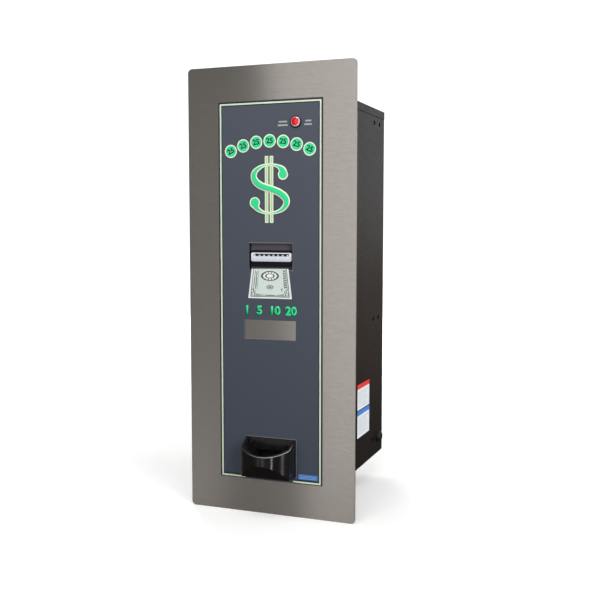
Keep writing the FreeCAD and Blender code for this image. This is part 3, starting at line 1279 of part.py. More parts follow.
def coin_disc():
    disc = body("coin_disc", y=DISC_Y, z=DISC_UNDER)
    plate = sketch(disc, "XY")
    circle(plate, 0, 0, "disc_size")
    pad(disc, plate, "disc_thick")
    count = round(value("coin_holes"))
    holes = sketch(disc, "XY")
    circle(holes, 0, 0, "spindle_size")
    for index in range(count):
        angle = 360 * index / count
        circle(holes, f"coin_circle * cos({angle})", f"coin_circle * sin({angle})", "coin_hole")
    cut_through(disc, holes)
    for index in range(count):
        angle = 360 * (index + 0.5) / count
        peg = sketch(disc, "XY")
        circle(peg, f"peg_circle * cos({angle})", f"peg_circle * sin({angle})", "peg_size")
        pad(disc, peg, "disc_lift - peg_gap", toward=-1)
    top = f"({DISC_UNDER} + disc_thick)"
    agitator = body("hopper_agitator", y=DISC_Y, z=top)
    cone = sketch(agitator, "XZ")
    polygon(cone, [
        ("spindle_size", 0), ("agitator_foot", 0), ("agitator_foot", "agitator_tall / 5"),
        ("agitator_head", "agitator_tall"), ("spindle_size", "agitator_tall"),
    ])
    turned(agitator, cone)
    for index in range(3):
        fin = sketch(agitator, "XY")
        angle = 120 * index
        corners = [("agitator_head", -1), ("agitator_reach", -1), ("agitator_reach", 1), ("agitator_head", 1)]
        polygon(fin, [
            (f"{run} * cos({angle}) - {side} * fin_half * sin({angle})",
             f"{run} * sin({angle}) + {side} * fin_half * cos({angle})")
            for run, side in corners
        ])
        pad(agitator, fin, "agitator_tall / 2")
    bush = tube("bush_size", "spindle_size + spindle_fit", "base_roof - well_deep", 0, DISC_Y, ROOF_UNDER)
    keep(bush, "disc_bush")


def hopper_drive():
    level = f"({ROOF_UNDER} - gear_drop - hopper_gear_face)"
    wheel = involute_gear("disc_teeth_z", "disc_teeth", "hopper_module", "hopper_gear_face", (0, DISC_Y, level),
                          "Z", kept=False)
    top = f"({DISC_UNDER} + disc_thick + agitator_tall)"
    keep(joined([wheel, rod("spindle_size", f"{top} - {level} + spindle_over", 0, DISC_Y, f"{level} - spindle_over")]),
         "disc_gear")
    y = f"({DISC_Y} + {HOPPER_CENTRES})"
    pinion = involute_gear("pinion_teeth_z", "pinion_teeth", "hopper_module", "hopper_gear_face", (0, y, level), "Z",
                           turn=math.pi / round(value("pinion_teeth")), kept=False)
    plate_top = f"({level} - gear_drop)"
    plate = block("2 * motor_post_side + 3 * motor_post", "4 * motor_post", "motor_plate",
                  "-motor_post_side - 1.5 * motor_post", f"{y} - 2 * motor_post", f"{plate_top} - motor_plate")
    barrel = rod("hopper_motor", "hopper_motor_long", 0, y, f"{plate_top} - hopper_motor_long")
    bore = rod("motor_shaft + motor_fit", "hopper_motor_long", 0, y, f"{plate_top} - hopper_motor_long")
    keep(less(joined([barrel, plate]), bore), "hopper_motor")
    shaft = rod("motor_shaft", "hopper_motor_long + gear_drop + hopper_gear_face", 0, y,
                f"{plate_top} - hopper_motor_long")
    keep(joined([pinion, shaft]), "hopper_pinion")


def eject_arm():
    arm = body("eject_arm", "-arm_side", "shelf_front + arm_back", BASE_TOP)
    x, y = "(arm_side - arm_finger_side)", "(arm_finger_back - arm_back)"
    run = f"sqrt({x} ^ 2 + {y} ^ 2)"
    hub = sketch(arm, "XY")
    circle(hub, 0, 0, "arm_hub")
    pad(arm, hub, "arm_thick")
    tip = sketch(arm, "XY")
    circle(tip, x, y, "finger_size + arm_flank")
    pad(arm, tip, "arm_thick")
    lever = sketch(arm, "XY")
    polygon(lever, [
        (f"{base_x} + {side} * {width} * {y} / {run}", f"{base_y} - {side} * {width} * {x} / {run}")
        for base_x, base_y, side, width in (
            ("0", "0", -1, "(arm_hub - arm_flank)"), ("0", "0", 1, "(arm_hub - arm_flank)"), (x, y, 1, "finger_size"),
            (x, y, -1, "finger_size"),
        )
    ])
    pad(arm, lever, "arm_thick")
    finger = sketch(arm, "XY")
    circle(finger, x, y, "finger_size")
    pad(arm, finger, "well_deep - peg_gap", toward=-1)
    eye = sketch(arm, "XY")
    circle(eye, 0, 0, "arm_pin + arm_fit")
    cut_through(arm, eye)
    start = "(-arm_side - spring_reach + arm_pin + peg_gap)"
    spring = tube("eject_spring", "eject_spring - eject_wire", f"-arm_side - arm_hub / 2 - 2 * peg_gap - {start}", start,
                  "shelf_front + arm_spring_back", f"{BASE_TOP} + eject_spring + peg_gap", "X")
    keep(spring, "eject_spring")


def coin_sensor():
    left, front = "(exit_wide / 2 + sensor_side)", "shelf_front + arm_back / 2"
    foot = block("sensor_wide", "sensor_deep", "sensor_tall", left, front, BASE_TOP)
    bridge = block(f"{left} + 2 * sensor_bridge", "sensor_deep", "sensor_bridge", "-sensor_bridge", front,
                   f"{BASE_TOP} + sensor_tall - sensor_bridge")
    keep(joined([foot, bridge]), "coin_sensor")


def bevelled(left, front, right, back, corner, level):
    """The corners of a level rectangle with its own corners cut off."""
    return [
        Vector(x, y, level) for x, y in (
            (left + corner, front), (right - corner, front), (right, front + corner), (right, back - corner),
            (right - corner, back), (left + corner, back), (left, back - corner), (left, front + corner),
        )
    ]


def stack(outlines):
    """A solid with flat sides through level outlines of as many corners each."""
    faces = [Part.Face(Part.makePolygon(outline + outline[:1])) for outline in (outlines[0], outlines[-1])]
    for lower, upper in zip(outlines, outlines[1:]):
        for index in range(len(lower)):
            after = (index + 1) % len(lower)
            faces.append(Part.Face(Part.makePolygon([
                lower[index], lower[after], upper[after], upper[index], lower[index],
            ])))
    return Part.makeSolid(Part.makeShell(faces))


def coin_bin():
    """Vacuum-formed bin: an eight-sided collar, a funnel to one side and a box with bevelled corners."""
    collar, funnel = value("bin_collar"), value("bin_collar + bin_funnel")
    middle, front, back = value("disc_back"), value("bin_front"), value("bin_front + bin_deep")
    octagon = 2 - math.sqrt(2)
    shells = []
    for wall in (0, value("bin_wall")):
        half = value("disc_size + disc_gap + bin_wall") - wall
        side = value(f"{SIDE_INNER} - bin_side_gap") - wall
        round_well = (-half, middle - half, half, middle + half, octagon * half)
        box = (-side, front + wall, side, back - wall, value("bin_corner") - octagon * wall)
        shells.append(stack([
            bevelled(*round_well, 0), bevelled(*round_well, collar), bevelled(*box, funnel),
            bevelled(*box, value(f"{BIN_TOP} - {BASE_TOP}")),
        ]))
    part = doc.addObject("Part::Feature", "coin_bin")
    part.Shape = shells[0].cut(shells[1])
    part.Placement = FreeCAD.Placement(Vector(0, value("shelf_front"), value(BASE_TOP)), Rotation())
    keep(part, "coin_bin")


def coin_chute():
    part = body("coin_chute", "cup_side")
    mouth = "(-plate_sheet + 0.2)"
    high = f"({CUP_TOP} - inlet_drop)"
    low = f"({high} - inlet_tall)"
    top = f"({BASE_TOP} - well_deep - chute_clear)"
    rear = "(shelf_front - chute_clear)"
    foot = "(chute_gap + 4 * chute_sheet)"
    knee = f"({top} - chute_back_fall)"
    half = "(inlet_wide / 2)"
    outer = sketch(part, "YZ", f"-{half} - chute_sheet")
    polygon(outer, [
        (mouth, f"{low} - chute_sheet"), (foot, f"{low} - chute_sheet"), (rear, knee), (rear, top),
        ("chute_gap", top), ("chute_gap", f"{high} + chute_sheet"), (mouth, f"{high} + chute_sheet"),
    ])
    pad(part, outer, "inlet_wide + 2 * chute_sheet")
    inner = sketch(part, "YZ", f"-{half}")
    skin = "(1.15 * chute_sheet)"
    polygon(inner, [
        (f"{mouth} - 1", low), (f"{foot} - {skin} / 2", low), (f"{rear} - chute_sheet", f"{knee} - chute_sheet / 8"),
        (f"{rear} - chute_sheet", f"{top} + 1"), ("chute_gap + chute_sheet", f"{top} + 1"),
        ("chute_gap + chute_sheet", high), (f"{mouth} - 1", high),
    ])
    cut(part, inner, "inlet_wide")


# Electronics

def control_board():
    outer = f"(-{SIDE_INNER})"
    face = f"({outer} + spacer_long)"
    board = body("control_board", face)
    outline = sketch(board, "YZ")
    rectangle(outline, "board_front", "board_low", "board_front + board_deep", "board_low + board_tall")
    spots = [
        (f"board_front + {'board_deep - ' if far else ''}spacer_inset",
         f"board_low + {'board_tall - ' if high else ''}spacer_inset")
        for far in (0, 1) for high in (0, 1)
    ]
    pad(board, outline, "board_thick")
    keep(group([rod("spacer_size", "spacer_long", outer, y, z, "X") for y, z in spots]), "board_spacers")
    front = f"({face} + board_thick)"
    chips = [
        ("18", "50", "16", "14", "18"), ("18", "50", "16", "14", "42"), ("12", "34", "70", "96", "22"),
        ("20", "22", "22", "14", "72"), ("5", "40", "14", "60", "70"), ("14", "46", "12", "60", "100"),
        ("9", "16", "40", "122", "24"),
    ]
    parts = [
        block(tall, deep, high, front, f"board_front + {along}", f"board_low + {up}")
        for tall, deep, high, along, up in chips
    ]
    parts += [
        rod("can_size", "can_tall", front, f"board_front + 22 + {index} * 3 * can_size", "board_low + 140", "X")
        for index in range(3)
    ]
    display = block("display_thick", "display_wide", "display_tall", front, "board_front + display_along",
                    "board_low + display_up")
    keep(display, "count_display")
    return parts


def service_buttons(solids):
    front = f"(-{SIDE_INNER} + spacer_long + board_thick)"
    for index, label in enumerate(("test_button", "reset_button")):
        y = f"(board_front + button_along + {index} * button_pitch)"
        z = "(board_low + display_up - button_drop)"
        case = block("button_base_tall", "button_base", "button_base", front, f"{y} - button_base / 2",
                     f"{z} - button_base / 2")
        well = rod("button_size + button_fit", "button_base_tall", f"{front} + button_floor", y, z, "X")
        solids.append(less(case, well))
        foot = "(button_floor + button_travel + button_stop)"
        cap = rod("button_size", f"button_base_tall + button_proud - {foot}", f"{front} + {foot}", y, z, "X")
        keep(cap, label)
    keep(group(solids), "board_components")


def power_supply():
    left = f"({SIDE_INNER} - supply_wide)"
    part = body("power_supply", left, f"{SUPPLY_REAR} - supply_deep", "supply_low")
    case = sketch(part, "XY")
    rectangle(case, 0, 0, "supply_wide", "supply_deep")
    pad(part, case, "supply_tall")
    hollow = sketch(part, "XY", "supply_sheet")
    rectangle(hollow, "supply_sheet", "supply_sheet", "supply_wide - supply_sheet", "supply_deep - supply_sheet")
    cut(part, hollow, "supply_tall - 2 * supply_sheet")
    holes = sketch(part, "XZ", "supply_deep")
    centred(holes, "(switch_wide - switch_rim)", "(switch_tall - switch_rim)", "supply_wide / 2", "switch_rise")
    cut(part, holes, "2 * supply_sheet", toward=-1)
    vents = sketch(part, "YZ")
    for index in range(round(value("vent_count"))):
        start = f"vent_inset + {index} * vent_pitch"
        rectangle(vents, start, "vent_margin", f"{start} + vent_wide", "supply_tall - vent_margin")
    cut(part, vents, "2 * supply_sheet")


def power_switch():
    x = f"({SIDE_INNER} - supply_wide / 2)"
    z = "(supply_low + switch_rise)"
    frame = body("switch_frame", x, SUPPLY_REAR, z)
    rim = sketch(frame, "XZ")
    centred(rim, "(switch_wide + 2 * switch_lap)", "(switch_tall + 2 * switch_lap)")
    pad(frame, rim, "switch_rim")
    shell = sketch(frame, "XZ")
    centred(shell, "(switch_wide - switch_rim)", "(switch_tall - switch_rim)")
    pad(frame, shell, "switch_deep", toward=-1)
    well = sketch(frame, "XZ", "switch_rim")
    centred(well, "(switch_wide - 2 * switch_rim)", "(switch_tall - 2 * switch_rim)")
    cut(frame, well, "switch_rim + switch_well", toward=-1)
    pivot_half = "(switch_wide / 2 - switch_rim + rocker_reach)"
    bearing = sketch(frame, "YZ", f"-{pivot_half} - rocker_gap / 2")
    circle(bearing, 0, 0, "rocker_pivot + pivot_fit")
    cut(frame, bearing, f"2 * {pivot_half} + rocker_gap")
    rocker = body("power_rocker", x, SUPPLY_REAR, z)
    rocker.Placement.Rotation = Rotation(Vector(-1, 0, 0), 1)
    bind(rocker, "Placement.Rotation.Angle", "rocker_tilt")
    half = "(switch_wide / 2 - switch_rim - rocker_gap)"
    lever = sketch(rocker, "YZ", f"-{half}")
    reach = "(switch_tall / 2 - switch_rim - rocker_gap)"
    polygon(lever, [
        ("-switch_well / 3", f"-{reach} + 1"), ("switch_rim", f"-{reach}"), ("switch_rim - rocker_dip", 0),
        ("switch_rim", reach), ("-switch_well / 3", f"{reach} - 1"),
    ])
    pad(rocker, lever, f"2 * {half}")
    pivot = sketch(rocker, "YZ", f"-{pivot_half}")
    circle(pivot, 0, 0, "rocker_pivot")
    pad(rocker, pivot, f"2 * {pivot_half}")


trim_plate()
graphics_overlay()
lamp()
bill_entry()
coin_cup()
cup_fixings()
cabinet_shell()
plate_nuts()
cabinet_cap()
cord_gland()
rear_door()
hinge()
lock()
transport_lower()
transport_upper()
rollers()
belts()
transport_gears()
stacker_chassis()
stacker()
magazine()
magazine_lid()
pressure_plate()
hopper_shelf()
hopper_base()
coin_disc()
hopper_drive()
eject_arm()
coin_sensor()
coin_bin()
coin_chute()
service_buttons(control_board())
power_supply()
power_switch()
doc.recompute()

faults = [item.Name for item in doc.Objects if {"Invalid", "Error"} & set(item.State)]
faults += [item.Label for item in pieces if item.Shape.isNull() or not item.Shape.isValid()]
if faults:
    raise RuntimeError(f"failed: {faults}")
os.makedirs("parts", exist_ok=True)
for item in pieces:
    item.Shape.exportStep(f"parts/{item.Label}.step")
print(len(pieces), "sub-parts")
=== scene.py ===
import math

import bmesh
import bpy
from mathutils import Euler, Matrix, Vector


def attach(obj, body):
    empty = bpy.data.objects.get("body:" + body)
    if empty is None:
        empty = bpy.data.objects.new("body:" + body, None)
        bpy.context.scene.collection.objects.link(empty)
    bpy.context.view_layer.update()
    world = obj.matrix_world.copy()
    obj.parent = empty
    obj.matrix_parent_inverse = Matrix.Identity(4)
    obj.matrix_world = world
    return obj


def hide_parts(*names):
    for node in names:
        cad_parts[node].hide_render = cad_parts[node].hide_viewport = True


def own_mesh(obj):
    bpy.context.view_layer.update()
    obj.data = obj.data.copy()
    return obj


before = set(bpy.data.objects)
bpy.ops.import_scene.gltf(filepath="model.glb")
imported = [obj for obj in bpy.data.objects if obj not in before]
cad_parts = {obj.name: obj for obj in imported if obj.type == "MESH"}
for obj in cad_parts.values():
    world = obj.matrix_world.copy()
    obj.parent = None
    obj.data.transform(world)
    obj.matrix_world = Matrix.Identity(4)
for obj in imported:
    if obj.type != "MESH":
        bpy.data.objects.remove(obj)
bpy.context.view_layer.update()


# The camera. It stands to the right of the machine, a little above its note slot,
# and looks a little down, as a customer sees a machine built into a wall.
lens = bpy.data.cameras.new("customer_view")
lens.lens = 53.12
lens.sensor_width = 36
customer = bpy.data.objects.new("customer_view", lens)
customer.location = (0.62601, -1.49114, 0.12393)
looks_down, turns_left = 4.8066, 20.8756
customer.rotation_euler = (math.radians(90 - looks_down), 0, math.radians(turns_left))
bpy.context.scene.collection.objects.link(customer)
bpy.context.scene.camera = customer


# The trim plate: a flat 3 mm stainless sheet with rounded corners, belt brushed
# along its width, so highlights smear up and down it. Threaded studs are welded to
# its back, and the whole machine hangs on it.
def finish(name, colour, roughness, **sockets):
    """A new finish in this colour. Its pattern is wired in afterwards."""
    made = bpy.data.materials.new(name)
    made.use_nodes = True
    made.diffuse_color = (*colour, 1)
    shader = made.node_tree.nodes["Principled BSDF"]
    sockets |= {"Base_Color": (*colour, 1), "Roughness": roughness}
    for socket, value in sockets.items():
        shader.inputs[socket.replace("_", " ")].default_value = value
    return made


def wire(made, kind, feeds, **settings):
    """Adds a node to a finish. It is fed by numbers or by other nodes' outputs."""
    node = made.node_tree.nodes.new("ShaderNode" + kind)
    for setting, value in settings.items():
        setattr(node, setting, value)
    for socket, feed in feeds.items():
        if isinstance(feed, bpy.types.NodeSocket):
            made.node_tree.links.new(feed, node.inputs[socket])
        else:
            node.inputs[socket].default_value = feed
    return node


def lead(made, output, socket):
    """Leads a pattern into the finish itself."""
    made.node_tree.links.new(output, made.node_tree.nodes["Principled BSDF"].inputs[socket])


def spread(made, repeats, centre=(0, 0, 0)):
    """The spot on the object, counted in repeats per metre from a centre in millimetres."""
    shift = [-count * start / 1000 for count, start in zip(repeats, centre)]
    place = wire(made, "TexCoord", {}).outputs["Object"]
    return wire(made, "Mapping", {"Vector": place, "Scale": repeats, "Location": shift}).outputs[0]


def grain(made, repeats, detail=2.0):
    """Uneven grain with this many repeats per metre along X, Y and Z."""
    feeds = {"Vector": spread(made, repeats), "Scale": 1.0, "Detail": detail}
    return wire(made, "TexNoise", feeds).outputs["Fac"]


def shade(made, amount, dark, light, low=0.35, high=0.65):
    """Colours the finish from dark to light by the amount of a pattern."""
    ramp = wire(made, "ValToRGB", {"Fac": amount})
    for stop, place, colour in zip(ramp.color_ramp.elements, (low, high), (dark, light)):
        stop.position = place
        stop.color = (*colour, 1)
    lead(made, ramp.outputs["Color"], "Base Color")


def dull(made, amount, low, high):
    """Takes the roughness from low to high by a grain, most of which is from 0.3 to 0.7."""
    feeds = {"Value": amount, "From Min": 0.3, "From Max": 0.7, "To Min": low, "To Max": high}
    lead(made, wire(made, "MapRange", feeds).outputs["Result"], "Roughness")


def relief(made, amount, depth):
    """Raises the surface by a pattern, as deep as this in millimetres."""
    bump = wire(made, "Bump", {"Height": amount, "Distance": depth / 1000})
    lead(made, bump.outputs["Normal"], "Normal")


def dress(made, *names):
    """Gives a finish to solids of the frame."""
    for name in names:
        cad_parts[name].material_slots[0].material = made


stainless = finish("brushed_stainless", (0.42, 0.39, 0.36), 0.23, Metallic=1.0, Anisotropic=0.97)
brush = grain(stainless, (90, 900, 3200), 3)
shade(stainless, brush, (0.375, 0.35, 0.32), (0.455, 0.425, 0.39), 0.3, 0.7)
dull(stainless, grain(stainless, (12, 90, 700), 3), 0.22, 0.245)
relief(stainless, brush, 0.0018)
across = wire(stainless, "Tangent", {}, direction_type="RADIAL", axis="X").outputs[0]
lead(stainless, across, "Tangent")
dress(stainless, "trim_plate")


# The nuts: steel, barrel plated with zinc, so a little milky and faintly blue and
# yellow. They hold the cabinet, the lamp, the cord gland and the latch cam.
zinc = finish("zinc_plate", (0.62, 0.62, 0.60), 0.32, Metallic=1.0)
shade(zinc, grain(zinc, (120, 120, 120)), (0.55, 0.56, 0.58), (0.70, 0.68, 0.60))
dull(zinc, grain(zinc, (700, 700, 700)), 0.25, 0.42)
relief(zinc, grain(zinc, (2500, 2500, 2500)), 0.01)
dress(zinc, "plate_nuts", "lamp_nut", "cam_nut", "gland_nut")


# The graphics overlay: half a millimetre of polyester film, satin on its face and
# glued to the plate. Its ground is slate grey, with painted shade that leaves it a
# little lighter at the top and darker towards the bottom.
def distance(made, axis, repeats, start):
    """How far a spot lies along one axis from a start, in repeats per metre."""
    picked = [letter == axis for letter in "XYZ"]
    counts = [repeats if here else 1 for here in picked]
    place = spread(made, counts, [start if here else 0 for here in picked])
    return wire(made, "SeparateXYZ", {"Vector": place}).outputs[axis]


slate = finish("slate_film", (0.07, 0.08, 0.105), 0.42, Specular_IOR_Level=0.4)
# Painted shade: the film's ground is lighter at the top and darker towards the bottom.
height = distance(slate, "Z", 1.3, -385)
shade(slate, height, (0.049, 0.062, 0.085), (0.076, 0.088, 0.118), 0.0, 1.0)
dull(slate, grain(slate, (40, 40, 40)), 0.38, 0.46)
relief(slate, grain(slate, (1800, 1800, 1800)), 0.012)
dress(slate, "graphics_overlay")


# The printed border: a pale line with a green core near the film's edge, between
# dark margins. Every colour is a layer of screen ink laid over the one before. The
# print stops under the coin cup, whose bowl covers it.
def piece(name, shape, made, body="cabinet"):
    """Makes a shape drawn in millimetres a piece of the machine that rides on a body."""
    bmesh.ops.scale(shape, vec=(0.001, 0.001, 0.001), verts=shape.verts)
    mesh = bpy.data.meshes.new(name)
    shape.to_mesh(mesh)
    shape.free()
    mesh.materials.append(made)
    thing = bpy.data.objects.new(name, mesh)
    bpy.context.scene.collection.objects.link(thing)
    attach(thing, body)
    return thing


def patch(drawing, left, low, right, high):
    """Draws an upright rectangle."""
    place = Matrix.Translation(((left + right) / 2, (low + high) / 2, 0))
    size = Matrix.Diagonal(((right - left) / 2, (high - low) / 2, 1, 1))
    bmesh.ops.create_grid(drawing, x_segments=1, y_segments=1, size=1, matrix=place @ size)


def rim(drawing, width):
    """Keeps only a rim of every face of a drawing."""
    kept = bmesh.ops.inset_region(drawing, faces=drawing.faces[:], thickness=width,
                                  use_boundary=True, use_even_offset=True)["faces"]
    bmesh.ops.delete(drawing, geom=list(set(drawing.faces) - set(kept)), context="FACES")


def cut(shape, spot, facing, **cleared):
    """Cuts a shape along a plane. One side of it can be cleared away."""
    parts = shape.verts[:] + shape.edges[:] + shape.faces[:]
    bmesh.ops.bisect_plane(shape, geom=parts, dist=0.0001, plane_co=spot, plane_no=facing,
                           **cleared)


def laid(name, drawing, made, lift, onto):
    """Gives a flat drawing the thickness of its ink or card and lays it on its panel."""
    for face in drawing.faces:
        if face.normal.z < 0:
            face.normal_flip()
    raised = bmesh.ops.extrude_face_region(drawing, geom=drawing.faces[:])["geom"]
    corners = [part for part in raised if isinstance(part, bmesh.types.BMVert)]
    bmesh.ops.translate(drawing, verts=corners, vec=(0, 0, lift))
    bmesh.ops.recalc_face_normals(drawing, faces=drawing.faces)
    drawing.transform(onto)
    return piece(name, drawing, made)


def ink(name, colour, roughness=0.4):
    """A screen ink, also used for painted highlights: almost even, with the faint mottle of its
    mesh.
    """
    made = finish(name, colour, roughness, Specular_IOR_Level=0.4)
    lighter, darker = [min(1, 1.06 * part) for part in colour], [0.92 * part for part in colour]
    shade(made, grain(made, (900, 900, 900)), darker, lighter)
    dull(made, grain(made, (60, 60, 60)), roughness - 0.04, roughness + 0.04)
    return made


film_face = -3.5
on_film = Matrix.Translation((0, film_face, 0)) @ Matrix.Rotation(math.pi / 2, 4, "X")
dark_ink = ink("dark_ink", (0.018, 0.026, 0.034))
pale_ink = ink("pale_ink", (0.88, 0.97, 0.76))
core_ink = ink("core_ink", (0.52, 0.79, 0.38))
line_side, line_low, line_high = 99.35, -347.6, 345.7
cup_left, cup_right = -51, 45
for name, made, lift, edge, width in (
    ("border_margin", dark_ink, 0.02, 2.5, 7.6),
    ("border_line", pale_ink, 0.03, -0.4, 2.8),
    ("border_core", core_ink, 0.04, -1.5, 0.7),
):
    drawing = bmesh.new()
    side = line_side + edge
    patch(drawing, -side, line_low - min(edge, 1), side, line_high + edge)
    rim(drawing, width)
    cut(drawing, (cup_left, 0, 0), (1, 0, 0))
    cut(drawing, (cup_right, 0, 0), (-1, 0, 0))
    middles = [(face, face.calc_center_median()) for face in drawing.faces]
    under_cup = [face for face, spot in middles if cup_left < spot.x < cup_right and spot.y < 0]
    bmesh.ops.delete(drawing, geom=under_cup, context="FACES")
    laid(name, drawing, made, lift, on_film)


# The row of coins over the sign: seven printed discs on an arc, each with a plain
# numeral. They say what the machine gives out, with no word.
def disc(drawing, across, up, radius, sides=48):
    """Draws a disc."""
    place = Matrix.Translation((across, up, 0))
    bmesh.ops.create_circle(drawing, cap_ends=True, segments=sides, radius=radius, matrix=place)


def drawn(curve):
    """Turns a curve or a numeral into a drawing, and clears the curve away."""
    holder = bpy.data.objects.new(curve.name, curve)
    mesh = bpy.data.meshes.new_from_object(holder)
    drawing = bmesh.new()
    drawing.from_mesh(mesh)
    bpy.data.objects.remove(holder)
    bpy.data.curves.remove(curve)
    bpy.data.meshes.remove(mesh)
    return drawing


def numeral(figures, tall, swell):
    """Draws plain numerals about this tall, with their strokes swollen a little."""
    tall_share = 0.7
    letters = bpy.data.curves.new("numeral", "FONT")
    letters.body = figures
    letters.size = tall / tall_share
    letters.align_x, letters.align_y = "CENTER", "CENTER"
    letters.offset = swell
    return drawn(letters)


arc_radius, arc_centre, coin_step = 187, 89, math.radians(8.1)


def on_arc(turn):
    """Where a coin's middle is on the arc, at this turn from its top."""
    return arc_radius * math.sin(turn), arc_centre + arc_radius * math.cos(turn)


green_ink = ink("green_ink", (0.035, 0.80, 0.32))
for name, made, lift, radius in (
    ("coin_edges", dark_ink, 0.02, 13.05),
    ("coin_rims", pale_ink, 0.03, 12.2),
    ("coin_faces", green_ink, 0.04, 10.1),
):
    drawing = bmesh.new()
    for place in range(-3, 4):
        disc(drawing, *on_arc(place * coin_step), radius)
    laid(name, drawing, made, lift, on_film)
for place in range(-3, 4):
    figures = numeral("25", 9.4, 0.45)
    figures.transform(Matrix.Rotation(-place * coin_step, 4, "Z"))
    figures.transform(Matrix.Translation((*on_arc(place * coin_step), 0)))
    laid(f"coin_numerals_{place + 4}", figures, dark_ink, 0.05, on_film)


# The currency sign: one swelling stroke with round ends over two upright bars. It
# has a thin dark edge, a pale outline and a green core, printed over each other.
stroke = (
    (25.8, 215.6, 9.9), (25.8, 222.7, 8.0), (19.6, 228.7, 4.7), (12.2, 231.9, 3.0),
    (2.3, 233.7, 2.6), (-9.7, 232.8, 2.9), (-19.8, 229.2, 4.0), (-30.5, 220.7, 5.9),
    (-32.1, 212.0, 6.5), (-27.9, 202.6, 7.3), (-18.0, 195.7, 7.2), (-5.9, 191.8, 6.9),
    (6.1, 188.4, 6.9), (18.0, 183.6, 7.2), (28.9, 176.2, 7.4), (33.6, 167.9, 6.9),
    (30.8, 158.8, 5.9), (22.8, 151.6, 4.5), (11.9, 147.3, 3.2), (-0.1, 146.0, 2.6),
    (-11.2, 147.2, 2.9), (-20.3, 151.0, 4.1), (-27.3, 157.0, 6.4), (-29.5, 165.4, 10.5),
)


def brushed_stroke(points, slimmer):
    """Draws a stroke through the points, each with its half width, pressed flat."""
    finest = 0.35
    curve = bpy.data.curves.new("stroke", "CURVE")
    curve.dimensions = "3D"
    curve.resolution_u = 8
    curve.bevel_depth = 1
    curve.bevel_resolution = 2
    line = curve.splines.new("NURBS")
    line.points.add(len(points) - 1)
    for point, (across, up, half) in zip(line.points, points):
        point.co = (across, up, 0, 1)
        point.radius = max(half - slimmer, finest)
    line.order_u = 3
    line.use_endpoint_u = True
    drawing = drawn(curve)
    cut(drawing, (0, 0, 0), (0, 0, 1), clear_outer=True)
    bmesh.ops.scale(drawing, vec=(1, 1, 0), verts=drawing.verts)
    drawing.normal_update()
    return drawing


for name, made, lift, slimmer in (
    ("sign_edge", dark_ink, 0.02, -1.2),
    ("sign_outline", pale_ink, 0.05, 0.0),
    ("sign_core", green_ink, 0.06, 2.4),
):
    laid(name, brushed_stroke(stroke, slimmer), made, lift, on_film)
    drawing = bmesh.new()
    for across, up, half in (stroke[0], stroke[-1]):
        disc(drawing, across, up, half - slimmer)
    laid(name + "_ends", drawing, made, lift + 0.005, on_film)
bar_foot, bar_head = 128.7, 249.3
for name, made, lift, slimmer in (
    ("sign_bar_edges", dark_ink, 0.025, -0.8),
    ("sign_bar_outlines", pale_ink, 0.03, 0.0),
    ("sign_bar_cores", core_ink, 0.04, 1.9),
):
    drawing = bmesh.new()
    for left, right in ((-9.6, -2.6), (-0.1, 7.2)):
        patch(drawing, left + slimmer, bar_foot + slimmer, right - slimmer, bar_head - slimmer)
    laid(name, drawing, made, lift, on_film)


# The numerals over the window: the notes that the machine takes, as plain numbers
# in the sign's green.
for name, made, lift, swell in (
    ("note_values_edge", dark_ink, 0.02, 1.7),
    ("note_values", green_ink, 0.03, 1.0),
):
    values = (("1", -46), ("5", -21), ("10", 9), ("20", 41))
    for number, (figures, across) in enumerate(values, 1):
        drawing = numeral(figures, 15.5, swell)
        bmesh.ops.translate(drawing, verts=drawing.verts, vec=(across, -32, 0))
        laid(f"{name}_{number}", drawing, made, lift, on_film)


# The marks beside the lamp and in the lower corner: small plain bars of pale ink
# and a plain blue strip, in place of words.
for name, left, right in (("lamp_marks_left", 16, 35), ("lamp_marks_right", 66.8, 81)):
    drawing = bmesh.new()
    patch(drawing, left + 2, 307.6, right - 1, 310.4)
    patch(drawing, left, 301.4, right, 304.2)
    laid(name, drawing, ink("mark_ink", (0.42, 0.47, 0.44)), 0.02, on_film)
drawing = bmesh.new()
patch(drawing, 55, -340.6, 93.5, -330.6)
bmesh.ops.bevel(drawing, geom=drawing.verts[:], offset=2, segments=4, profile=0.5,
                affect="VERTICES", material=-1)
laid("corner_strip", drawing, ink("blue_ink", (0.05, 0.19, 0.52)), 0.02, on_film)
drawing = bmesh.new()
for up in (-338.4, -335.9, -333.4):
    patch(drawing, 58, up - 0.35, 90.5, up + 0.35)
laid("corner_lines", drawing, ink("sky_ink", (0.35, 0.55, 0.85)), 0.03, on_film)


# The picture of a note under the slot: it shows which way up a note goes in. It is
# drawn on a unit square and then stretched to the picture's four corners.
low_left, high_left = Vector((-43.5, -9.3)), Vector((-36.3, 45.0))
low_right, high_right = Vector((43.0, -9.0)), Vector((36.3, 45.9))


def on_note(drawing):
    """Stretches a drawing on the unit square to the corners of the picture."""
    for corner in drawing.verts:
        along, up = corner.co.x, corner.co.y
        corner.co.xy = low_left.lerp(high_left, up).lerp(low_right.lerp(high_right, up), along)
    return drawing


def oval(drawing, along, up, wide, tall, sides=32):
    """Draws an oval on the unit square."""
    place = Matrix.Translation((along, up, 0)) @ Matrix.Diagonal((wide, tall, 1, 1))
    bmesh.ops.create_circle(drawing, cap_ends=True, segments=sides, radius=1, matrix=place)


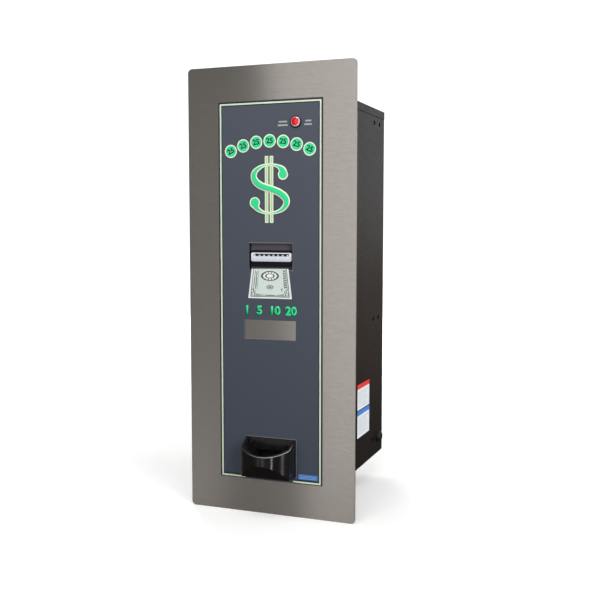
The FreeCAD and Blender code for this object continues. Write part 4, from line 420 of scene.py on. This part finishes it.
note_paper = ink("note_paper", (0.94, 0.98, 0.97), 0.45)
note_green = ink("note_green", (0.085, 0.125, 0.105), 0.45)
field = ink("note_field", (0.74, 0.83, 0.79), 0.45)
rings = {"Vector": spread(field, (1, 1, 1), (0, 0, 19)), "Scale": 95.0, "Distortion": 1.5,
         "Detail": 2.0}
bands = wire(field, "TexWave", rings, wave_type="RINGS", rings_direction="Y").outputs["Fac"]
shade(field, bands, (0.60, 0.72, 0.67), (0.86, 0.94, 0.89), 0.2, 0.8)
for name, made, lift, left, low, right, high in (
    ("note_margin", note_paper, 0.02, 0, 0, 1, 1),
    ("note_frame", note_green, 0.03, 0.045, 0.05, 0.955, 0.99),
    ("note_field", field, 0.04, 0.062, 0.075, 0.938, 0.985),
):
    drawing = bmesh.new()
    patch(drawing, left, low, right, high)
    laid(name, on_note(drawing), made, lift, on_film)
drawing = bmesh.new()
for left, low, right, high in (
    (0.10, 0.25, 0.115, 0.95), (0.145, 0.32, 0.165, 0.92), (0.19, 0.3, 0.198, 0.95),
    (0.845, 0.34, 0.86, 0.97), (0.915, 0.34, 0.925, 0.97),
):
    patch(drawing, left, low, right, high)
for place in range(8):
    patch(drawing, 0.868, 0.37 + 0.075 * place, 0.908, 0.415 + 0.075 * place)
laid("note_bands", on_note(drawing), note_green, 0.05, on_film)
drawing = bmesh.new()
oval(drawing, 0.5, 0.76, 0.235, 0.165)
laid("note_rosette", on_note(drawing), note_green, 0.05, on_film)
drawing = bmesh.new()
for petal in range(12):
    turn = petal * math.pi / 6
    oval(drawing, 0.5 + 0.155 * math.cos(turn), 0.76 + 0.107 * math.sin(turn), 0.034, 0.03, 16)
oval(drawing, 0.5, 0.76, 0.085, 0.062)
laid("note_petals", on_note(drawing), note_paper, 0.06, on_film)
drawing = bmesh.new()
oval(drawing, 0.5, 0.385, 0.085, 0.072)
oval(drawing, 0.785, 0.30, 0.012, 0.05, 12)
rim(drawing, 0.022)
oval(drawing, 0.5, 0.385, 0.045, 0.028)
laid("note_seal", on_note(drawing), note_green, 0.05, on_film)
drawing = bmesh.new()
for side in (-1, 1):
    for along, up, size in (
        (0.40, 0.15, 0.042), (0.335, 0.125, 0.034), (0.37, 0.23, 0.03), (0.28, 0.115, 0.028),
        (0.405, 0.30, 0.02), (0.225, 0.112, 0.022), (0.17, 0.11, 0.016),
    ):
        oval(drawing, 0.5 + side * along, up, size, 1.35 * size, 20)
rim(drawing, 0.014)
patch(drawing, 0.38, 0.095, 0.62, 0.125)
laid("note_scrolls", on_note(drawing), note_green, 0.05, on_film)


# The cut edges of the film: where it is die cut round the window, the note entry
# and the cup, a fine pale line is painted on as the highlight of its clear rim.
drawing = bmesh.new()
for left, low, right, high in (
    (49.4, -84.8, 50.6, -48.6), (-51.2, -84.9, 50.6, -83.8), (-51.4, -84.8, -50.9, -48.6),
    (-41.6, 92.1, 45.0, 93.0), (44.5, 44.0, 45.1, 93.0),
    (51.1, -338.5, 51.9, -267.0), (-48.0, -267.8, 51.9, -267.0),
):
    patch(drawing, left, low, right, high)
# These pale lines are painted highlights, laid like ink.
laid("cut_edges", drawing, ink("cut_edge_highlight", (0.26, 0.24, 0.24), 0.3), 0.02, on_film)


# The service lamp: a black moulded ring screwed through the plate, and in it a
# domed red lens with a clear pale rim that lights up when the machine is empty.
# The rim's pale colour is partly its own and partly painted reflection.
def fading(made, repeats, centre):
    """A pattern that fades from 1 at its centre to 0 at a distance of one repeat."""
    spot = {"Vector": spread(made, repeats, centre)}
    return wire(made, "TexGradient", spot, gradient_type="SPHERICAL").outputs["Fac"]


ring_black = finish("lamp_ring", (0.012, 0.012, 0.014), 0.22, Coat_Weight=0.3, Coat_Roughness=0.1)
dull(ring_black, grain(ring_black, (500, 500, 500)), 0.16, 0.30)
relief(ring_black, grain(ring_black, (3000, 3000, 3000)), 0.01)
dress(ring_black, "lamp_body")
lens_red = finish("lamp_lens", (0.78, 0.006, 0.02), 0.10, Coat_Weight=0.6, Coat_Roughness=0.03)
# Painted reflection: the lens is painted pale towards its rim, partly the clear rim's own colour
# and partly the light it would reflect.
from_rim = fading(lens_red, (117, 0, 117), (50.2, 0, 308.4))
shade(lens_red, from_rim, (0.92, 0.62, 0.64), (0.80, 0.003, 0.014), 0.13, 0.20)
relief(lens_red, grain(lens_red, (1500, 1500, 1500)), 0.01)
dress(lens_red, "lamp_lens")


# The note entry: a recess moulded in grey with a black nose, and in the nose a
# pale translucent bezel that is lit from behind and has painted shade, darker
# towards its bottom. A row of teeth guides the note.
tray = finish("entry_moulding", (0.10, 0.09, 0.11), 0.5, Specular_IOR_Level=0.2)
depth = distance(tray, "Y", 1000, 4.7)
shade(tray, depth, (0.004, 0.004, 0.007), (0.108, 0.096, 0.120), 0.1, 0.6)
relief(tray, grain(tray, (2200, 2200, 2200)), 0.02)
dull(tray, grain(tray, (300, 300, 300)), 0.42, 0.55)
dress(tray, "entry_tray")
bezel = finish("lit_bezel", (0.80, 0.81, 0.88), 0.22, Coat_Weight=0.4, Coat_Roughness=0.06,
               Subsurface_Weight=0.15, Emission_Color=(0.80, 0.82, 0.95, 1),
               Emission_Strength=0.10)
# Painted shade: the bezel is darker towards the bottom and lighter at the top.
upwards = distance(bezel, "Z", 62, 58.5)
shade(bezel, upwards, (0.58, 0.59, 0.66), (0.86, 0.87, 0.93), 0.1, 0.8)
relief(bezel, grain(bezel, (900, 900, 900)), 0.01)
dress(bezel, "bill_bezel")
teeth = bmesh.new()
first_tooth, tooth_pitch = -30.6, 9.2
for place in range(8):
    spot = Matrix.Translation((first_tooth + place * tooth_pitch, -1.7, 69.9))
    bmesh.ops.create_cube(teeth, size=1, matrix=spot @ Matrix.Diagonal((3.2, 0.8, 2.4, 1)))
bmesh.ops.bevel(teeth, geom=teeth.edges[:], offset=0.25, segments=2, profile=0.5,
                affect="EDGES", material=-1)
piece("bezel_teeth", teeth, bezel)


# The coin cup: injection moulded in glossy black ABS with a bowed front. Two black
# screws through its flange hold it, with nuts behind the plate. The rounded rims of
# its bowl carry a painted highlight, pale and stronger towards the right.
gloss = finish("cup_gloss", (0.008, 0.008, 0.009), 0.15, Specular_IOR_Level=0.5)
dull(gloss, grain(gloss, (90, 90, 90), 4), 0.12, 0.20)
shade(gloss, grain(gloss, (160, 160, 160)), (0.006, 0.006, 0.007), (0.012, 0.010, 0.010))
relief(gloss, grain(gloss, (60, 60, 20)), 0.003)
dress(gloss, "coin_cup")
bowl = bmesh.new()
bowl.from_mesh(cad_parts["coin_cup"].data)
bmesh.ops.scale(bowl, vec=(1000, 1000, 1000), verts=bowl.verts)
bmesh.ops.remove_doubles(bowl, verts=bowl.verts, dist=0.002)
bmesh.ops.dissolve_limit(bowl, angle_limit=math.radians(0.5), verts=bowl.verts, edges=bowl.edges)
flange_front, mouth_low = -6, -294
rims = [edge for edge in bowl.edges if edge.calc_face_angle(0) > math.radians(40)
        and all(corner.co.y < flange_front and corner.co.z > mouth_low for corner in edge.verts)]
rounded = set(bmesh.ops.bevel(bowl, geom=rims, offset=0.8, segments=3, profile=0.5,
                              affect="EDGES", material=1)["faces"])
for face in bowl.faces:
    face.smooth = True
for edge in bowl.edges:
    ends_rounding = sum(face in rounded for face in edge.link_faces) == 1
    edge.smooth = edge.calc_face_angle(0) < math.radians(30) and not ends_rounding
cup = piece("cup_moulding", bowl, gloss)
# The rims' finish is a painted highlight: pale, and brighter towards the right.
rim_highlight = finish("cup_rim_highlight", (0.10, 0.10, 0.11), 0.3, Specular_IOR_Level=0.8)
highlight_side = distance(rim_highlight, "X", 20, -32)
shade(rim_highlight, highlight_side, (0.02, 0.02, 0.022), (0.26, 0.26, 0.28), 0.0, 0.7)
dull(rim_highlight, grain(rim_highlight, (500, 500, 500)), 0.2, 0.45)
cup.data.materials.append(rim_highlight)
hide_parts("coin_cup")
blacked = finish("black_screws", (0.05, 0.05, 0.055), 0.38, Metallic=1.0)
shade(blacked, grain(blacked, (500, 500, 500)), (0.035, 0.035, 0.04), (0.07, 0.07, 0.075))
dull(blacked, grain(blacked, (900, 900, 900)), 0.30, 0.46)
dress(blacked, "cup_fixings")


# The cabinet, its cap, its rear door and the coin chute: steel sheet, folded and
# welded, with a satin black powder coat that shows a fine orange peel up close.
coat = finish("cabinet_coat", (0.0118, 0.0104, 0.0098), 0.42, Specular_IOR_Level=0.3)
shade(coat, grain(coat, (9, 9, 9)), (0.0095, 0.0082, 0.0077), (0.0118, 0.0104, 0.0098))
dull(coat, grain(coat, (160, 160, 160)), 0.42, 0.50)
relief(coat, grain(coat, (650, 650, 650)), 0.006)
dress(coat, "cabinet_shell", "cabinet_cap", "rear_door", "coin_chute")


# The hinge: two rolled steel leaves on a long pin. The leaves are riveted to the
# cabinet and to the door, and the rivets' domed heads stand on them.
hinge = finish("hinge_steel", (0.33, 0.33, 0.34), 0.36, Metallic=1.0)
shade(hinge, grain(hinge, (500, 500, 12), 3), (0.27, 0.27, 0.28), (0.41, 0.41, 0.41))
dull(hinge, grain(hinge, (300, 300, 8)), 0.28, 0.45)
relief(hinge, grain(hinge, (1500, 1500, 60)), 0.02)
dress(hinge, "hinge_frame_leaf", "hinge_door_leaf", "hinge_pin")
rivet_pitch, lowest_rivet, dome = 64, -288, Matrix.Diagonal((1, 1, 0.36, 1))
for name, body, spot, facing, skin, outwards in (
    ("frame_rivets", "cabinet", (-115.2, 339, 0), (math.pi / 2, 0, -math.pi / 2),
     (-115.25, 0, 0), (-1, 0, 0)),
    ("door_rivets", "rear_door", (-103, 354.2, 0), (-math.pi / 2, 0, 0),
     (0, 354.15, 0), (0, 1, 0)),
):
    heads = bmesh.new()
    turn = Euler(facing).to_matrix().to_4x4()
    for place in range(10):
        up = Vector((0, 0, rivet_pitch * place + lowest_rivet))
        seat = Matrix.Translation(Vector(spot) + up)
        bmesh.ops.create_uvsphere(heads, u_segments=20, v_segments=12, radius=2.8,
                                  matrix=seat @ turn @ dome)
    cut(heads, skin, outwards, clear_inner=True)
    for face in heads.faces:
        face.smooth = True
    piece(name, heads, hinge, body)


# The lock: a chromed T handle in a flat housing. It turns a plated cam that is
# held on its square by a nut, and the cam swings behind the cabinet's edge.
chrome = finish("lock_chrome", (0.70, 0.70, 0.70), 0.12, Metallic=1.0)
dull(chrome, grain(chrome, (220, 220, 220), 3), 0.07, 0.22)
shade(chrome, grain(chrome, (60, 60, 60)), (0.62, 0.62, 0.63), (0.76, 0.75, 0.74))
relief(chrome, grain(chrome, (900, 900, 900)), 0.006)
dress(chrome, "lock_housing", "t_handle")


# The cards on the side of the cabinet: two plain record cards with a coloured head
# and ruled lines, glued to the sheet. Nothing is written on them.
to_right = Matrix.Rotation(math.radians(120), 4, Vector((1, 1, 1)))
on_side = Matrix.Translation((114, 0, 0)) @ to_right
card_front, card_rear = 172, 254
card = ink("card_white", (0.88, 0.92, 0.98), 0.5)
rule_ink = ink("card_rule", (0.30, 0.34, 0.42), 0.5)
for name, low, high, head in (
    ("record_card", -244.3, -192.5, ink("card_red", (0.86, 0.05, 0.05))),
    ("service_card", -300.5, -246.0, ink("card_blue", (0.07, 0.26, 0.74))),
):
    drawing = bmesh.new()
    patch(drawing, card_front, low, card_rear, high)
    laid(name, drawing, card, 0.15, on_side)
    drawing = bmesh.new()
    patch(drawing, card_front, high - 9.5, card_rear, high)
    laid(name + "_head", drawing, head, 0.19, on_side)
    drawing = bmesh.new()
    for number in range(7):
        rule = high - 16.5 - number * 5
        patch(drawing, card_front + 6, rule, card_rear - 6 - 9 * (number % 3), rule + 0.8)
    laid(name + "_rules", drawing, rule_ink, 0.19, on_side)


# The moulded nylon parts: the cord gland, the housings that carry the note belts,
# the pusher's guide and the coin sensor. Black nylon has a dull, even skin.
def moulded(name, colour, roughness, **sockets):
    """A moulded plastic with a fine spark texture from its tool."""
    made = finish(name, colour, roughness, **sockets)
    darker, lighter = [0.95 * part for part in colour], [1.05 * part for part in colour]
    shade(made, grain(made, (45, 45, 45)), darker, lighter)
    dull(made, grain(made, (250, 250, 250)), roughness - 0.07, roughness + 0.07)
    relief(made, grain(made, (2400, 2400, 2400)), 0.02)
    return made


dress(moulded("black_nylon", (0.016, 0.016, 0.017), 0.45),
      "gland_body", "transport_lower", "transport_upper", "pusher_guide", "coin_sensor")


# The zinc plated sheet parts: latch cam, stacker chassis, hopper shelf and pressure
# plate. The plating grows in faint spangles on the cold rolled sheet.
plated = finish("plated_sheet", (0.52, 0.52, 0.50), 0.34, Metallic=1.0)
cells = {"Vector": spread(plated, (140, 140, 140)), "Scale": 1.0}
spangle = wire(plated, "TexVoronoi", cells).outputs["Color"]
shade(plated, spangle, (0.51, 0.52, 0.52), (0.60, 0.59, 0.57), 0.2, 0.8)
dull(plated, grain(plated, (180, 180, 180)), 0.33, 0.40)
relief(plated, grain(plated, (1200, 1200, 1200)), 0.01)
dress(plated, "latch_cam", "stacker_chassis", "hopper_shelf", "pressure_plate")


# The note drive: two steel shafts with rubber rollers, flat belts over them, and
# a small geared motor. The shafts are steel at the core and rubber outside it.
def roller(name, back):
    """Rubber rollers on a steel shaft that lies along X, this far back in the machine."""
    up, core = 79, 3.2
    rubber, steel = 0.44, 0.48
    made = finish(name, (0.03, 0.03, 0.03), 0.6)
    reach = 1000 / (2 * core)
    inner = fading(made, (0, reach, reach), (0, back, up))
    shade(made, inner, (0.028, 0.028, 0.030), (0.60, 0.60, 0.58), rubber, steel)
    metal = wire(made, "MapRange", {"Value": inner, "From Min": rubber, "From Max": steel})
    lead(made, metal.outputs["Result"], "Metallic")
    relief(made, grain(made, (1200, 1200, 1200)), 0.02)
    return made


dress(roller("drive_rollers", 26), "drive_shaft")
dress(roller("idler_rollers", 70), "idler_shaft")
belt = moulded("belt_rubber", (0.020, 0.020, 0.021), 0.55)
relief(belt, grain(belt, (900, 120, 900)), 0.04)
dress(belt, "transport_belts")
ground = finish("ground_steel", (0.58, 0.58, 0.58), 0.25, Metallic=1.0)
shade(ground, grain(ground, (800, 80, 80)), (0.50, 0.50, 0.50), (0.66, 0.66, 0.65))
dull(ground, grain(ground, (600, 100, 100)), 0.18, 0.34)
dress(ground, "transport_pinion", "hopper_pinion")
dress(moulded("acetal", (0.72, 0.71, 0.66), 0.35, Subsurface_Weight=0.05),
      "drive_gear", "disc_gear", "stacker_pusher", "disc_bush")
can = finish("motor_can", (0.42, 0.42, 0.43), 0.30, Metallic=1.0)
shade(can, grain(can, (30, 30, 500), 3), (0.34, 0.34, 0.36), (0.52, 0.51, 0.49))
dull(can, grain(can, (200, 200, 200)), 0.22, 0.42)
relief(can, grain(can, (300, 300, 1500)), 0.01)
dress(can, "transport_motor", "stacker_motor", "hopper_motor")


# The note magazine: a moulded box with a lid on its top that opens to the rear.
# A light coil spring holds the pressure plate against the stack of notes.
dress(moulded("magazine_plastic", (0.050, 0.050, 0.056), 0.42), "note_magazine", "magazine_lid")
wire_steel = finish("spring_steel", (0.50, 0.50, 0.50), 0.24, Metallic=1.0)
shade(wire_steel, grain(wire_steel, (400, 400, 400)), (0.40, 0.40, 0.42), (0.62, 0.61, 0.58))
dull(wire_steel, grain(wire_steel, (900, 900, 900)), 0.18, 0.32)


def coil(name, start, axis, length, outer, thick, turns):
    """Winds a coil spring of round wire from a start along an axis."""
    shape = bmesh.new()
    across = Vector((0, 0, 1))
    spot = Vector(start) + across * (outer - thick / 2) + axis * (thick / 2)
    facing = axis.cross(across).to_track_quat("Z", "X").to_matrix().to_4x4()
    end = bmesh.ops.create_circle(shape, cap_ends=True, segments=8, radius=thick / 2,
                                  matrix=Matrix.Translation(spot) @ facing)
    steps = turns * 28
    bmesh.ops.spin(shape, geom=end["verts"] + shape.edges[:] + shape.faces[:], cent=start,
                   axis=axis, dvec=axis * (length - thick) / steps, angle=turns * 2 * math.pi,
                   steps=steps, use_merge=False)
    bmesh.ops.remove_doubles(shape, verts=shape.verts, dist=0.0005)
    bmesh.ops.recalc_face_normals(shape, faces=shape.faces)
    for face in shape.faces:
        face.smooth = True
    return piece(name, shape, wire_steel)


stack_spring = coil("stack_coil", (1.5, 98.1, 190.05), Vector((0, 1, 0)), 66.2, 15.9, 1.6, 7)
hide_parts("pressure_spring")
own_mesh(stack_spring)


# The coin hopper: a moulded base on the shelf, a bin that stands on it, and a red
# disc that carries the coins round to a sprung arm, which flicks them out past the
# sensor. A motor drives the gear under the disc.
dress(moulded("hopper_plastic", (0.13, 0.13, 0.14), 0.48), "hopper_base", "coin_bin")
dress(moulded("disc_red", (0.42, 0.035, 0.028), 0.36), "coin_disc", "hopper_agitator", "eject_arm")
arm_spring = coil("arm_coil", (-42.2, 75, -192.9), Vector((1, 0, 0)), 20.8, 2.45, 0.6, 13)
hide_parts("eject_spring")
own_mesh(arm_spring)


# The control board: glass laminate with green solder mask over copper tracks, on
# nylon spacers. It carries chips, a two-figure display and two service buttons.
board = finish("solder_mask", (0.012, 0.12, 0.045), 0.28, Coat_Weight=0.3, Coat_Roughness=0.12)
faced = wire(board, "SeparateXYZ", {"Vector": spread(board, (1, 300, 300))}).outputs
flat = wire(board, "CombineXYZ", {"X": faced["Z"], "Y": faced["Y"]}).outputs["Vector"]
courses = {"Vector": flat, "Color1": (0, 0, 0, 1), "Color2": (0.25, 0.25, 0.25, 1),
           "Mortar": (1, 1, 1, 1), "Scale": 1.0, "Mortar Size": 0.06, "Brick Width": 3.1,
           "Row Height": 0.75}
tracks = wire(board, "TexBrick", courses).outputs["Color"]
shade(board, tracks, (0.010, 0.105, 0.038), (0.03, 0.22, 0.085), 0.1, 0.9)
relief(board, tracks, 0.03)
dress(board, "control_board")
dress(moulded("board_parts", (0.022, 0.022, 0.023), 0.4),
      "board_components", "switch_frame", "power_rocker")
dress(moulded("board_spacer", (0.68, 0.68, 0.64), 0.45), "board_spacers")
screen = finish("display_face", (0.10, 0.006, 0.008), 0.10, Coat_Weight=0.4)
shade(screen, grain(screen, (200, 200, 200)), (0.085, 0.005, 0.006), (0.12, 0.008, 0.01))
dull(screen, grain(screen, (400, 400, 400)), 0.07, 0.16)
dress(screen, "count_display")
glow = finish("lit_segment", (0.85, 0.05, 0.03), 0.4, Emission_Color=(1.0, 0.06, 0.03, 1),
              Emission_Strength=1.2)
shade(glow, grain(glow, (300, 300, 300)), (0.80, 0.04, 0.03), (0.90, 0.06, 0.04))
drawing = bmesh.new()
wide, tall, bar, gap, low = 7.5, 13.5, 1.4, 0.3, 265.2
for centre in (280, 296):
    for side in (-1, 1):
        left, right = sorted((centre + side * wide / 2, centre + side * (wide / 2 - bar)))
        patch(drawing, left, low + bar + gap, right, low + tall / 2 - gap)
        patch(drawing, left, low + tall / 2 + gap, right, low + tall - bar - gap)
    for up in (low, low + tall - bar):
        patch(drawing, centre - wide / 2 + 3 * gap, up, centre + wide / 2 - 3 * gap, up + bar)
on_display = Matrix.Translation((-89.9, 0, 0)) @ to_right
laid("display_figures", drawing, glow, 0.05, on_display)
dress(moulded("button_green", (0.03, 0.30, 0.10), 0.36), "test_button")
dress(moulded("button_red", (0.46, 0.025, 0.025), 0.36), "reset_button")


# The power supply: a folded box of zinc plated sheet with cooling slots, fixed flat
# to the cabinet's side. Its mains switch is a black rocker in a snap-in frame.
dress(plated, "power_supply")


# The studio: a round pale floor that curves up into a pale wall, which only the
# camera sees. The plate mirrors the large soft light in front of it on its lighter
# right and the small dim ones on its darker left. The rest light the other sides.
sweep = bmesh.new()
floor_level, floor_radius, bend, bend_steps, wall_top = -0.4125, 4.5, 1.2, 12, 4
bmesh.ops.create_circle(sweep, cap_ends=True, segments=96, radius=floor_radius,
                        matrix=Matrix.Translation((0, 0, floor_level)))
ring, reach = sweep.edges[:], floor_radius
for step_up in range(1, bend_steps + 2):
    grown = bmesh.ops.extrude_edge_only(sweep, edges=ring)["geom"]
    edges = [part for part in grown if isinstance(part, bmesh.types.BMEdge)]
    ring = [edge for edge in edges if not edge.is_manifold and len(edge.link_faces) == 1]
    corners = [part for part in grown if isinstance(part, bmesh.types.BMVert)]
    lean = min(step_up, bend_steps) * math.pi / (2 * bend_steps)
    wider = (floor_radius + bend * math.sin(lean)) / reach
    reach *= wider
    higher = floor_level + bend * (1 - math.cos(lean)) - corners[0].co.z
    if step_up > bend_steps:
        higher = wall_top
    bmesh.ops.scale(sweep, vec=(wider, wider, 1), verts=corners)
    bmesh.ops.translate(sweep, vec=(0, 0, higher), verts=corners)
for part in sweep.faces:
    part.smooth = True
backdrop_mesh = bpy.data.meshes.new("backdrop")
sweep.to_mesh(backdrop_mesh)
sweep.free()
paper = finish("backdrop_paper", (0.88, 0.88, 0.87), 0.9, Emission_Color=(1, 1, 1, 1))
shade(paper, grain(paper, (3, 3, 3)), (0.87, 0.87, 0.86), (0.90, 0.90, 0.89))
away = wire(paper, "VectorMath", {0: spread(paper, (1, 1, 1))}, operation="LENGTH").outputs["Value"]
shining = {"Value": away, "From Min": 0.9, "From Max": 3.2, "To Min": 0.3, "To Max": 1.0}
lead(paper, wire(paper, "MapRange", shining).outputs["Result"], "Emission Strength")
backdrop_mesh.materials.append(paper)
backdrop = bpy.data.objects.new("backdrop", backdrop_mesh)
bpy.context.scene.collection.objects.link(backdrop)
backdrop.visible_glossy = backdrop.visible_diffuse = backdrop.visible_shadow = False


def softbox(name, place, aim, wide, tall, watts, colour=(1, 1, 1), roll=0, mirrored=True):
    """A soft light aimed at a spot of the machine. Shiny pieces show it if mirrored."""
    light = bpy.data.lights.new(name, "AREA")
    light.color = colour
    light.shape, light.size, light.size_y, light.energy = "RECTANGLE", wide, tall, watts
    box = bpy.data.objects.new(name, light)
    box.location = place
    box.rotation_euler = (Vector(aim) - Vector(place)).to_track_quat("-Z", "Y").to_euler()
    box.rotation_euler.rotate_axis("Z", math.radians(roll))
    box.visible_camera, box.visible_glossy = False, mirrored
    bpy.context.scene.collection.objects.link(box)


softbox("front_box", (-0.20, -2.6, 0.45), (-0.20, 0, 0.45), 1.72, 2.6, 13.9, roll=7)
softbox("high_box", (-0.5, -2.6, 2.0), (-0.5, 0, 2.0), 1.3, 1.0, 3)
softbox("low_box", (-0.72, -2.6, -1.2), (-0.72, 0, -1.2), 0.34, 0.6, 0.7)
softbox("dim_box", (-1.42, -2.35, -0.45), (0, 0, -0.45), 1.0, 3.2, 2.5)
softbox("corner_box", (-1.55, -2.6, -1.35), (-0.16, 0, -0.38), 0.35, 0.4, 0.36)
softbox("left_box", (-3.0, -0.6, 0.6), (0, 0.1, 0.1), 1.8, 2.4, 8)
softbox("top_box", (0.3, -1.0, 2.6), (0, 0, 0), 2.2, 1.2, 25)
softbox("rim_strip", (0.3, -1.3, 1.7), (0, -0.05, -0.3), 1.3, 0.12, 7)
softbox("right_box", (2.6, -2.0, 0.9), (0, 0, 0), 1.2, 1.8, 52, mirrored=False)
softbox("right_sheen", (2.7, -2.1, 0.9), (0, 0, 0), 2.0, 2.2, 14)
softbox("card_box", (3.0, 0.9, 0.2), (0.114, 0.2, -0.25), 1.2, 1.2, 44, mirrored=False)
softbox("middle_strip", (0.66, -2.2, -0.95), (0, -0.05, -0.3), 0.07, 0.8, 3, (0.85, 0.9, 1))
softbox("right_strip", (1.8, -1.31, -0.9), (0, -0.05, -0.3), 0.34, 0.8, 1.6)
softbox("side_box", (0.9, 2.7, 0.6), (0.114, 0.17, 0.1), 1.1, 1.2, 3.8)
softbox("warm_box", (1.2, 2.7, -0.35), (0.114, 0.17, -0.2), 1.1, 0.6, 0.8, (1, 0.72, 0.5))
softbox("back_box", (-1.6, 2.6, 1.7), (0, 0.3, 0), 1.6, 1.2, 50)
softbox("rear_box", (-1.3, 3.3, 0.1), (0, 0.3, 0), 2.8, 2.2, 12)


# The room round the studio: dim, a little warmer and darker towards the floor. To
# the camera it is the same pale grey all over.
room = bpy.data.worlds.new("studio_room")
room.use_nodes = True
direction = wire(room, "TexCoord", {}).outputs["Generated"]
upwards = wire(room, "SeparateXYZ", {"Vector": direction}).outputs["Z"]
strength = {"Value": upwards, "From Min": -0.35, "From Max": 0.6, "To Min": 0.045, "To Max": 0.16}
dimmed = wire(room, "MapRange", strength).outputs["Result"]
walls = room.node_tree.nodes["Background"]
room.node_tree.links.new(dimmed, walls.inputs["Strength"])
pale = wire(room, "Background", {"Color": (0.84, 0.84, 0.83, 1)})
seen = wire(room, "LightPath", {}).outputs["Is Camera Ray"]
both = wire(room, "MixShader", {0: seen, 1: walls.outputs[0], 2: pale.outputs[0]})
room.node_tree.links.new(both.outputs[0], room.node_tree.nodes["World Output"].inputs["Surface"])
cooler = wire(room, "MapRange", {"Value": upwards, "From Min": -0.35, "From Max": 0.0})
warmth = wire(room, "ValToRGB", {"Fac": cooler.outputs["Result"]})
floor_tint, ceiling_tint = warmth.color_ramp.elements
floor_tint.color, ceiling_tint.color = (1.0, 0.76, 0.6, 1), (1.0, 1.0, 1.02, 1)
room.node_tree.links.new(warmth.outputs["Color"], walls.inputs["Color"])
bpy.context.scene.world = room
bpy.context.scene.view_settings.view_transform = "Standard"
